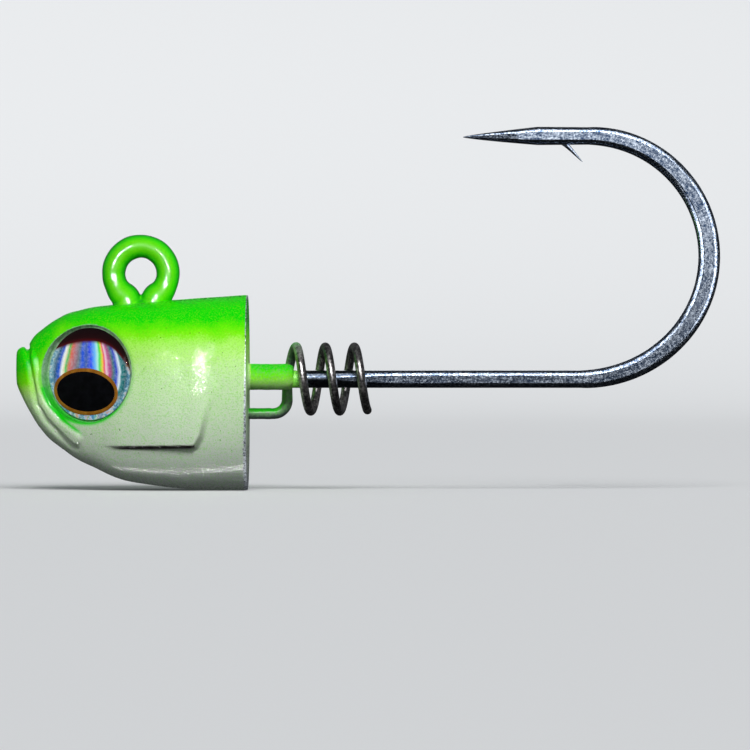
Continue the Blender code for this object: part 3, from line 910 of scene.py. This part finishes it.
def socket_tool(label):
    """A cylinder that stands on an eye's socket floor, pointing out of the head."""
    centre, back, up, out = EYES[label]
    adhesive = (points_of(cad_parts[f"eye_adhesive_{label}"].data) - centre) @ out
    floor = adhesive.min() - 0.03
    chamfer = 0.12
    angles = np.linspace(0, math.tau, EYE_COLUMNS, endpoint=False)
    circle = np.cos(angles)[:, None] * back + np.sin(angles)[:, None] * up
    bottom = centre + circle * (SOCKET_RADIUS - chamfer) + out * floor
    edge = centre + circle * SOCKET_RADIUS + out * (floor + chamfer)
    top = centre + circle * SOCKET_RADIUS + out * SOCKET_REACH
    first, last = tuple(range(EYE_COLUMNS)), tuple(range(2 * EYE_COLUMNS, 3 * EYE_COLUMNS))
    faces = [*grid_faces(3, EYE_COLUMNS), first, last[::-1]]
    mesh = make_mesh("socket", np.vstack((bottom, edge, top)), faces)
    face_outwards(mesh)
    return mesh


def joined(meshes):
    """One mesh that holds several separate ones."""
    bm = bmesh.new()
    for mesh in meshes:
        bm.from_mesh(mesh)
    result = bpy.data.meshes.new("joined")
    bm.to_mesh(result)
    bm.free()
    return result


def make_head():
    """The painted casting: its skin with relief, and sockets and channels cut into it."""
    rings = head_rings()
    normals = grid_normals(rings)
    flat = rings.reshape(-1, 3)
    relief = head_relief(flat)
    settle = ease(0, 0.25, -flat[:, 0])
    moved = flat + normals.reshape(-1, 3) * relief[:, None] * settle[:, None]
    moved[:, 0] = np.maximum(moved[:, 0], head_low[0])
    rings = moved.reshape(rings.shape)
    body = np.concatenate((rings, np.array(collar_rings(rings[-1]))))
    tip, end = (-HEAD_LENGTH, 0, NOSE_HEIGHT), (COLLAR_END, 0, COLLAR_HEIGHT)
    points, faces = closed_body(body, tip, end)
    mesh = make_mesh("head_casting", points, faces)
    face_outwards(mesh)
    tools = [socket_tool(label) for label in EYES] + [hook_channel(), keeper_bore()]
    mesh = combined(mesh, joined(tools), "DIFFERENCE")
    points = points_of(mesh)
    set_attribute(mesh, "deeper_green", deep_green_mask(points))
    # Painted shade under the gill's edge and behind its corner.
    set_attribute(mesh, "under_gill_shade", painted_gill_shade(points))
    set_attribute(mesh, "socket", 0.8 * (eye_radius(points) < SOCKET_RADIUS + 0.01))
    set_attribute(mesh, "rim", rim_distance(points))
    set_attribute(mesh, "gloss", gloss_mask(points))
    make_piece("head_casting", mesh, paint_material(), ["head_casting"], 40)


def deep_green_mask(points):
    """Where the paint is a deeper green: round the eye's rim, most of all below it, and beside the cheek ridge.
    """
    low = ease(3.5, -1.5, points[:, 2]) * ease(-10.5, -13.5, points[:, 0])
    rim = bell(eye_radius(points) - SOCKET_RADIUS - 0.05, 0.22) * (0.25 + 0.75 * low)
    inner_side = CHEEK_RIDGE[8:13]
    gap, share = line_distance(points[:, (0, 2)], inner_side)
    ridge = bell(gap, 0.18) * ease(0.0, 0.2, share)
    return np.clip(rim + ridge, 0, 1)


def painted_gill_shade(points):
    """Painted shade: where the paint is darkened under the gill's lower edge and behind its lower corner, where
    shade falls.
    """
    side = points[:, (0, 2)]
    depth = outline_depth(side, GILL)
    behind, height = (side - GILL_CORNER).T
    lower = ease(0.35, 0, height) * ease(0.0, 0.25, along_gill(side))
    line = ease(0.06, -0.04, depth) * ease(-0.5, -0.2, depth) * lower * ease(0.15, 0, behind)
    line += 0.3 * lower * ease(-1.3, -0.3, depth) * ease(0, -0.1, depth) * ease(0, -0.6, behind)
    rear = ease(-0.1, 0.2, behind) * ease(4.0, 0.0, height) * ease(-0.5, 0.0, height)
    slope = 0.5 * rear * ease(0.1, -0.1, depth) * ease(-0.75, -0.15, depth)
    return np.clip(0.92 * line + slope, 0, 1) * (side[:, 0] < -0.5)


def gloss_mask(points):
    """How well the clear coat shines: on the flank, only along a streak and in a fainter patch."""
    x, z = points[:, 0], points[:, 2]
    gap, _ = line_distance(points[:, (0, 2)], GLOSS_STREAK)
    patch = np.hypot((x - GLOSS_PATCH[0]) / 2.2, (z - GLOSS_PATCH[1]) / 1.9)
    patch *= 1 + 0.5 * roughness_field(points * (1.6, 1, 0.6), 0.9, 5)
    shine = bell(gap, 0.6) + 0.35 * bell(patch, 1)
    flank = ease(-13.5, -11.5, x) * ease(-5.6, -4.8, z) * ease(7.2, 6.2, z)
    return np.clip(1 - flank + flank * shine, 0, 1)


def rim_distance(points):
    """Distance from the edge of the rear face, forwards on the flanks and, at a third, inwards behind."""
    width, middle, crown, belly, power = head_section(HEAD_LENGTH)
    height = np.where(points[:, 2] > middle, crown - middle, middle - belly)
    across, up = np.abs(points[:, 1] / width), np.abs((points[:, 2] - middle) / height)
    share = (across**power + up**power) ** (1 / power)
    inwards = np.clip(1 - share, 0, 1) * width / 3
    inwards = np.where(points[:, 0] > 0.1, 3.0, inwards)
    return np.where(points[:, 0] > -0.01, inwards, np.minimum(-points[:, 0], 3.0))


# ---------------------------------------------------------------- hook


def hook_line():
    """The wire's centre line (x, z) and half width in the plane of the bend, from the ring to the point."""
    ring_x, ring_z = RING_CENTRE
    neck_radius = (RING_RADIUS * math.cos(RING_FLARE) - LEG_OFFSET) / (1 - math.cos(RING_FLARE))
    reach = RING_RADIUS + neck_radius
    neck_x, neck_z = reach * math.cos(RING_FLARE), ring_z - reach * math.sin(RING_FLARE)
    quarter = math.pi / 2
    front_leg = arc((ring_x - neck_x, neck_z), neck_radius, 0, RING_FLARE, 16)
    ring = arc(RING_CENTRE, RING_RADIUS, math.pi + RING_FLARE, -RING_FLARE, 120)[1:]
    rear_leg = arc((ring_x + neck_x, neck_z), neck_radius, math.pi - RING_FLARE, math.pi, 16)[1:]
    eye = np.vstack(((ring_x - LEG_OFFSET, LEG_END_HEIGHT), front_leg, ring, rear_leg))
    elbow_x = ring_x + LEG_OFFSET + ELBOW_RADIUS
    elbow = arc((elbow_x, SHANK_HEIGHT + ELBOW_RADIUS), ELBOW_RADIUS, math.pi, 3 * quarter, 30)
    lower_x = BEND_REACH - LOWER_BEND_WIDTH
    middle = SHANK_HEIGHT + LOWER_BEND_HEIGHT
    upper_radius = POINT_HEIGHT - middle
    upper_x = BEND_REACH - upper_radius
    shank = np.column_stack((np.linspace(0, lower_x - 1, 40), np.full(40, SHANK_HEIGHT)))
    lower = arc((lower_x, middle), (LOWER_BEND_WIDTH, LOWER_BEND_HEIGHT), -quarter, 0, 90)
    upper = arc((upper_x, middle), upper_radius, 0, quarter, 90)[1:]
    bend = np.vstack((lower, upper))
    swell = np.sin(np.linspace(0, math.pi, len(bend))) ** 0.6
    share = np.linspace(1, 0, 60)
    point = np.column_stack((POINT_X + POINT_TAPER * share, POINT_HEIGHT - POINT_DROP * (1 - share)))
    line = np.vstack((eye, elbow, shank, bend, point))
    widths = (
        np.full(len(eye), RING_WIRE),
        np.linspace(RING_WIRE, SHANK_WIRE, len(elbow)),
        np.full(len(shank), SHANK_WIRE),
        SHANK_WIRE + (BEND_WIRE - SHANK_WIRE) * swell,
        TIP_WIRE + (POINT_WIRE - TIP_WIRE) * share**0.8,
    )
    return line, np.concatenate(widths)


def wire_section(half_width, half_depth, flat, steps):
    """Rings of (in-plane, across) offsets: ellipses whose sides are cut off flat at the given depth.

    Each quarter has steps points round its curve and a close pair at the edge of the flat.
    """
    edge = np.arcsin(np.clip(flat / half_depth, 0, 0.999))
    share = np.linspace(0, 1, steps + 1)
    curve = edge[:, None] * share
    rest = (math.pi / 2 - edge)[:, None]
    quarter = np.hstack((curve, edge[:, None] + rest * 0.08, edge[:, None] + rest * 0.5))
    middle = np.full((len(edge), 1), math.pi / 2)
    half = np.hstack((quarter, middle, math.pi - quarter[:, ::-1]))
    angles = np.hstack((half, -half[:, -2:0:-1]))
    u = half_width[:, None] * np.cos(angles)
    v = half_depth[:, None] * np.sin(angles)
    return u, np.clip(v, -flat[:, None], flat[:, None])


def plane_frames(line):
    """Points on the middle plane with their in-plane normals and the direction across."""
    points = np.column_stack((line[:, 0], np.zeros(len(line)), line[:, 1]))
    tangents = np.gradient(points, axis=0)
    tangents /= np.linalg.norm(tangents, axis=1)[:, None]
    across = np.tile((0.0, 1.0, 0.0), (len(points), 1))
    return points, np.cross(tangents, across), across


def barb_mesh():
    """A thin sliver raised from the inner side of the point, curling back towards the bend."""
    root, tip = (np.array((x, POINT_HEIGHT - drop)) for x, drop in (BARB_ROOT, BARB_TIP))
    share = np.linspace(0, 1, 24)
    line = root + (tip - root) * share[:, None]
    line[:, 1] += 0.16 * np.sin(share * math.pi) * (1 - share)
    points, inner, across = plane_frames(line)
    half = 0.3 * (1 - share) ** 0.8 + 0.015
    u, v = wire_section(half, half * 0.9 + 0.01, np.full(24, 0.3), 3)
    return sweep("barb", points, inner, across, u, v, share)


def make_hook():
    """The hook's wire, forged flat on both sides round the bend, with its barb."""
    line, width = hook_line()
    line, along, width = evenly(line, 0.15, width)
    points, inner, across = plane_frames(line)
    forged = ease(FORGED_FROM, FORGED_FULLY, points[:, 0])
    depth = width + (np.minimum(width, FORGED_BULGE) - width) * forged
    flat = depth * 0.999 + (np.minimum(FORGED_FLAT, depth * 0.92) - depth * 0.999) * forged
    u, v = wire_section(width, depth, flat, 8)
    mesh = sweep("hook", points, inner, across, u, v, along)
    mesh = combined(mesh, barb_mesh(), "UNION")
    make_piece("hook", mesh, hook_material(), ["hook"], 50)


def hook_channel():
    """The space for the hook's legs, elbow and shank inside the lead."""
    line, width = hook_line()
    line, along, width = evenly(line, 0.3, width)
    inside = (line[:, 0] < COLLAR_END + 1) & (line[:, 1] < RING_CENTRE[1] * 1.5)
    inside[np.argmax(~inside) :] &= line[np.argmax(~inside) :, 0] < COLLAR_END + 1
    points, inner, across = plane_frames(line[inside])
    room = width[inside] + 0.02
    u, v = wire_section(room, room, room * 0.999, 5)
    return sweep("hook_channel", points, inner, across, u, v, along[inside])


def ring_foot():
    """The pool of paint where the ring stands on the head."""
    steps = 24
    x = np.linspace(-2.3, 3.2, steps) + RING_CENTRE[0]
    points = np.column_stack((x, np.zeros(steps), np.linspace(8.62, 9.0, steps)))
    bulge = np.sin(np.linspace(0.12, math.pi - 0.12, steps)) ** 0.5
    first, second = frames_along(points)
    u, v = round_section(bulge)
    return sweep("foot", points, first, second, 1.45 * u, 0.62 * v, x)


def make_ring_paint():
    """The coat of paint on the hook's ring, filling the notch between its legs and spreading on the head."""
    line, width = hook_line()
    line, along, width = evenly(line, 0.12, width)
    start = np.argmax(line[:, 1] > RING_PAINT_FOOT)
    end = np.argmax((line[:, 1] < RING_PAINT_FOOT) & (along > 5))
    points, inner, across = plane_frames(line[start:end])
    low = ease(RING_CENTRE[1] - 1.0, RING_CENTRE[1] - 2.9, points[:, 2])
    points[:, 0] += 0.3 * low * np.sign(points[:, 0] - RING_CENTRE[0])
    points[:, 2] -= 0.1 * (1 - low)
    thick = width[start:end] + PAINT_THICKNESS + 0.3 * low
    thick *= 1 + 0.03 * roughness_field(points, 0.9, 4)
    u, v = wire_section(thick, thick, thick * 0.999, 6)
    coat = sweep("ring_paint", points, inner, across, u, v, along[start:end])
    obj = link(bpy.data.objects.new("ring_paint", joined([coat, ring_foot()])))
    remesh = obj.modifiers.new("blend", "REMESH")
    remesh.mode = "VOXEL"
    remesh.voxel_size = RING_PAINT_VOXEL * MM
    soften = obj.modifiers.new("soften", "SMOOTH")
    soften.factor = 0.5
    soften.iterations = 8
    evaluated = obj.evaluated_get(bpy.context.evaluated_depsgraph_get())
    mesh = bpy.data.meshes.new_from_object(evaluated)
    bpy.data.objects.remove(obj)
    make_piece("ring_paint", mesh, ring_paint_material(), [], 60)


# ---------------------------------------------------------------- bait keeper


def keeper_line():
    """The keeper's centre line, from just inside the head to the coil's free end."""
    side = KEEPER_RADIUS - KEEPER_WIRE
    start = (-5.0, side, KEEPER_TAIL_HEIGHT)
    corner = (KEEPER_LEG_X - KEEPER_TAIL_BEND, KEEPER_TAIL_HEIGHT + KEEPER_TAIL_BEND)
    bend = arc(corner, KEEPER_TAIL_BEND, -math.pi / 2, 0, 24)
    points = [start] + [(x, side, z) for x, z in bend]
    for angle in np.arange(-math.pi / 2, math.tau * KEEPER_TURNS, math.tau / 96):
        turn = angle / math.tau
        pitch = KEEPER_PITCH if turn > 0 else (KEEPER_START - KEEPER_LEG_X) * 4
        across, up = -side * math.sin(angle), side * math.cos(angle)
        points.append((KEEPER_START + turn * pitch, across, SHANK_HEIGHT + up))
    return np.array(points)


def make_keeper():
    """The wire keeper, painted towards its tail."""
    points, along = evenly(keeper_line(), 0.11)
    first, second = frames_along(points)
    painted = ease(20.5, 15.5, along)
    radius = KEEPER_WIRE + 0.09 * ease(13.0, 9.0, along) + 0.03 * painted
    radius *= 1 + 0.05 * ease(12, 5, along) * roughness_field(points, 0.6, 8)
    radius[-3:] *= (0.97, 0.9, 0.75)
    mesh = sweep("bait_keeper_coil", points, first, second, *round_section(radius), along)
    patchy = painted * (1 + 0.6 * roughness_field(points, 0.8, 9) * ease(15, 18, along))
    set_attribute(mesh, "painted", np.repeat(np.clip(patchy, 0, 1), ROUND_COLUMNS))
    make_piece("bait_keeper_coil", mesh, keeper_material(), ["bait_keeper_coil"])


def keeper_bore():
    """The space for the keeper's tail inside the lead."""
    side = KEEPER_RADIUS - KEEPER_WIRE
    points = np.array([(x, side, KEEPER_TAIL_HEIGHT) for x in np.linspace(-5.1, 1, 8)])
    first, second = frames_along(points)
    radius = np.full(len(points), KEEPER_WIRE + 0.14)
    return sweep("keeper_bore", points, first, second, *round_section(radius), points[:, 0])


# ---------------------------------------------------------------- eyes


def eye_oval(width, height, out, roll=0.0, offset=(0.0, 0.0)):
    """A ring of (back, up, out) points on an eye: an oval rolled about its own middle and then moved."""
    angles = np.linspace(0, math.tau, EYE_COLUMNS, endpoint=False)
    u, v = width * np.cos(angles), height * np.sin(angles)
    turned_u = u * math.cos(roll) - v * math.sin(roll) + offset[0]
    turned_v = u * math.sin(roll) + v * math.cos(roll) + offset[1]
    return np.column_stack((turned_u, turned_v, np.full(EYE_COLUMNS, out)))


def eye_mesh(name, label, local, faces):
    """A mesh from points in an eye's own (back, up, out) directions."""
    centre, back, up, out = EYES[label]
    mesh = make_mesh(name, centre + local @ np.array((back, up, out)), faces)
    face_outwards(mesh)
    set_attribute(mesh, "eye", local / FOIL_RADIUS)
    return mesh


def eye_body(name, label, ovals, middle=(0.0, 0.0)):
    """A round or oval body made of ovals, bottom to top, and closed at both ends over its middle."""
    ends = [(*middle, ovals[0][0, 2]), (*middle, ovals[-1][0, 2])]
    faces = grid_faces(len(ovals), EYE_COLUMNS)
    first, last = len(ovals) * EYE_COLUMNS, (len(ovals) - 1) * EYE_COLUMNS
    for c in range(EYE_COLUMNS):
        d = (c + 1) % EYE_COLUMNS
        faces.append((first, d, c))
        faces.append((first + 1, last + c, last + d))
    return eye_mesh(name, label, np.vstack((*ovals, ends)), faces)


def eye_ring(name, label, ovals):
    """A flat ring made of ovals round its section, joined back to the first."""
    faces = grid_faces(len(ovals), EYE_COLUMNS)
    last = (len(ovals) - 1) * EYE_COLUMNS
    for c in range(EYE_COLUMNS):
        d = (c + 1) % EYE_COLUMNS
        faces.append((last + c, last + d, d, c))
    return eye_mesh(name, label, np.vstack(ovals), faces)


def node_heights(label, kind):
    """Lowest and highest places of an eye's layer along its axis, from the foil's middle."""
    centre, _, _, out = EYES[label]
    heights = (points_of(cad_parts[f"{kind}_{label}"].data) - centre) @ out
    return heights.min(), heights.max()


def rounded_disc(radius, low, high):
    """Profile of a disc with a rounded edge."""
    half = (high - low) / 2
    edge = [
        (radius - half + half * math.cos(a), (low + high) / 2 + half * math.sin(a))
        for a in np.linspace(-math.pi / 2, math.pi / 2, 5)
    ]
    inner = [(radius * share, low) for share in (0.3, 0.6, 0.85)]
    return inner + edge + [(r, high) for r, _ in reversed(inner)]


def dome_profile(low, high):
    """Profile of the clear dome: a flat underside, a short wall and a shallow ball cap."""
    ball = (DOME_RADIUS**2 + DOME_RISE**2) / (2 * DOME_RISE)
    angles = np.linspace(math.asin(DOME_RADIUS / ball), 0, 25)[:-1]
    cap = [(ball * math.sin(a), high - ball * (1 - math.cos(a))) for a in angles]
    shoulder = cap[0][1]
    wall = [(0.1, low), (0.03, low + 0.03), (0, low + 0.1), (0, shoulder - 0.06), (0.04, shoulder + 0.01)]
    underside = [(radius, low) for radius in (1.5, 3.0, 4.0)]
    return underside + [(DOME_RADIUS - inset, height) for inset, height in wall] + cap[1:]


def make_eye(label, foil, black, orange, clear):
    """An eye's foil, printed pupil with its ring, and clear dome."""
    ovals = [eye_oval(r, r, out) for r, out in rounded_disc(FOIL_RADIUS, *node_heights(label, "eye_foil"))]
    mesh = eye_body("eye_foil", label, ovals)
    make_piece(f"eye_foil_{label}", mesh, foil, [f"eye_foil_{label}"])

    low, high = node_heights(label, "pupil_print")
    placing = (PUPIL_ROLL, PUPIL_OFFSET)
    inner = 1 - RING_WIDTH / PUPIL_HALF_WIDTH
    edge, top = inner * 0.99, high - 0.008
    plate = ((0.3, low), (0.6, low), (edge, low), (edge, top), (0.6, top), (0.3, top))
    ovals = [eye_oval(r * PUPIL_HALF_WIDTH, r * PUPIL_HALF_HEIGHT, out, *placing) for r, out in plate]
    mesh = eye_body("pupil_print", label, ovals, PUPIL_OFFSET)
    make_piece(f"pupil_print_{label}", mesh, black, [f"pupil_print_{label}"])
    band = ((RING_WIDTH, low), (0, low), (-0.0216, (low + high) / 2), (0, high), (RING_WIDTH, high))
    ovals = [eye_oval(PUPIL_HALF_WIDTH - r, PUPIL_HALF_HEIGHT - r, out, *placing) for r, out in band]
    mesh = eye_ring("pupil_ring", label, ovals)
    make_piece(f"pupil_ring_{label}", mesh, orange, [f"pupil_print_{label}"])

    ovals = [eye_oval(r, r, out) for r, out in dome_profile(*node_heights(label, "eye_dome"))]
    mesh = eye_body("eye_dome", label, ovals)
    make_piece(f"eye_dome_{label}", mesh, clear, [f"eye_dome_{label}"])


def make_eyes():
    """Both eyes, and the material of the adhesive pads under them, which keep their CAD shape."""
    foil = foil_material()
    black = ink_material("pupil_black", srgb(3, 3, 4), srgb(14, 14, 18))
    orange = ink_material("pupil_orange", srgb(150, 92, 24), srgb(186, 122, 40))
    clear = dome_material()
    adhesive = adhesive_material()
    for label in EYES:
        make_eye(label, foil, black, orange, clear)
        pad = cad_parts[f"eye_adhesive_{label}"].data
        pad.materials.clear()
        pad.materials.append(adhesive)


# ---------------------------------------------------------------- stage


def make_stage():
    """A pale floor under the belly that curves up into a wall all round."""
    ground = head_low[2] - 0.05
    flat, curve, columns = 600, 400, 96
    profile = [(r, ground) for r in (20.0, 80.0, 200.0, 400.0, flat)]
    for a in np.linspace(0.1, math.pi / 2, 24):
        profile.append((flat + curve * math.sin(a), ground + curve * (1 - math.cos(a))))
    profile.append((flat + curve, ground + 900))
    angles = np.linspace(0, math.tau, columns, endpoint=False)
    circle = np.column_stack((np.cos(angles), np.sin(angles), np.zeros(columns)))
    rows = [circle * r + (0, 0, z) for r, z in profile]
    faces = grid_faces(len(profile), columns)
    faces += [(len(profile) * columns, (c + 1) % columns, c) for c in range(columns)]
    mesh = make_mesh("floor", np.vstack((*rows, (0, 0, ground))), faces, flip=True)
    mesh.shade_smooth()
    n = material_nodes("floor")
    n.set(Base_Color=srgb(226, 227, 228), Roughness=0.8)
    mesh.materials.append(n.owner)
    floor = link(bpy.data.objects.new("floor", mesh))
    floor.visible_diffuse = False
    floor.visible_glossy = False
    floor.visible_shadow = False
    return floor


def fall_on(light, lit):
    """Makes a light fall only on some objects."""
    collection = bpy.data.collections.new(light.name)
    for obj in lit:
        collection.objects.link(obj)
    light.light_linking.receiver_collection = collection


def add_light(name, place, size, watts, lit, shows="both", target=(0, 0, 2), roll=0):
    """A soft box that faces a target, rolled by some degrees, and falls only on the objects lit.

    It shows as matt light, as a mirrored highlight or as both. Places and sizes are in millimetres.
    """
    light = bpy.data.lights.new(name, "AREA")
    light.shape = "RECTANGLE"
    light.size, light.size_y = size[0] * MM, size[1] * MM
    light.energy = watts
    obj = link(bpy.data.objects.new(name, light))
    obj.location = Vector(place) * MM
    aim = Vector(target) * MM - obj.location
    turn = aim.to_track_quat("-Z", "Y") @ Quaternion((0, 0, 1), math.radians(roll))
    obj.rotation_euler = turn.to_euler()
    obj.visible_glossy = shows != "matt"
    obj.visible_diffuse = shows != "mirrored"
    fall_on(obj, lit)


def make_lights(floor):
    """Studio lights, each of which falls only on chosen pieces.

    A key above the camera, one behind and one beyond the tail light the whole jig. The windows give the
    flank its highlights, the keel strip the belly's, and the tubes the ring's. The wire has boxes of its own
    at both sides, above, behind and by the camera. A broad sun lights only the floor.
    """
    jig = [obj for obj in bpy.context.scene.objects if obj.type == "MESH" and obj is not floor]
    head, ring = [pieces["head_casting"]], [pieces["ring_paint"]]
    hook, keeper = [pieces["hook"]], [pieces["bait_keeper_coil"]]
    foils = [pieces[f"eye_foil_{label}"] for label in EYES]
    domes = [pieces[f"eye_dome_{label}"] for label in EYES]

    add_light("key", (30, -390, 240), (150, 110), 1.55, jig, "matt")
    add_light("window", (-56, -390, 99), (20, 50), 0.62, head + domes, "mirrored")
    add_light("upper window", (-14, -390, 152), (18, 80), 0.95, head, "mirrored", roll=-25)
    add_light("faint window", (-115, -390, 76), (80, 40), 0.06, head, "mirrored")
    add_light("keel strip", (-30, -30, -300), (300, 5), 0.4, head, "mirrored", target=(-10, 0, -7))
    add_light("belly fill", (-60, -330, -170), (220, 120), 0.14, head, "matt")
    add_light("back key", (-40, 390, 200), (200, 150), 1.0, jig, "matt")
    add_light("rear key", (390, -60, 180), (200, 150), 0.6, jig, "matt")
    add_light("eye light", (-130, -380, 90), (120, 120), 0.7, foils, "matt")
    middle = (RING_CENTRE[0], 0, RING_CENTRE[1])
    for side, _ in SIDES:
        tube = (middle[0] + side * 82, -390, 74)
        add_light("ring tube", tube, (6, 150), 2.0, ring, "mirrored", middle, side * 37)
        add_light("wire side", (20 + side * 290, -230, 40), (260, 360), 1.0, hook)
    add_light("wire key", (60, -390, 240), (150, 110), 1.0, hook)
    add_light("wire back", (60, 390, 90), (300, 160), 0.3, hook)
    add_light("coil key", (10, -390, 260), (240, 200), 2.0, keeper)
    add_light("wire top", (20, -205, 290), (500, 240), 1.35, hook)
    add_light("wire fill", (60, -420, 80), (160, 120), 0.085, hook + keeper)

    sun = link(bpy.data.objects.new("sun", bpy.data.lights.new("sun", "SUN")))
    sun.data.energy = 2.7
    sun.data.angle = math.radians(40)
    sun.rotation_euler = (math.radians(42), 0, math.radians(12))
    fall_on(sun, [floor])


def make_world():
    """A dim room, lighter above than below and dimmer still in reflections."""
    n = Nodes(bpy.data.worlds.new("studio"), "Background")
    bpy.context.scene.world = n.owner
    _, _, z = n.split(n.add("TexCoord", "Generated"))
    height = n.add("MapRange", Value=z, From_Min=-0.6, From_Max=0.4, To_Min=0.06, To_Max=0.28)
    reflected = n.add("MapRange", Value=n.add("LightPath", "Is Glossy Ray"), To_Min=1.0, To_Max=0.25)
    n.set(Color=(0.9, 0.95, 1.0, 1), Strength=height * reflected)


def make_camera():
    """Level with the jig's middle and square to its side, through a long lens."""
    middle = (cad_low + cad_high) / 2
    across, down, seen_width = 0.65, 6.7, 75
    camera = bpy.data.cameras.new("camera")
    camera.lens = 200
    camera.sensor_width = 36
    camera.clip_start = 0.01
    distance = seen_width * MM * camera.lens / camera.sensor_width
    obj = link(bpy.data.objects.new("camera", camera))
    obj.location = (middle.x + across * MM, -distance, middle.z - down * MM)
    obj.rotation_euler = (math.pi / 2, 0, 0)
    bpy.context.scene.camera = obj


# ---------------------------------------------------------------- the jig

make_head()
make_hook()
make_ring_paint()
make_keeper()
make_eyes()
make_lights(make_stage())
make_world()
make_camera()
bpy.context.scene.view_settings.view_transform = "Standard"
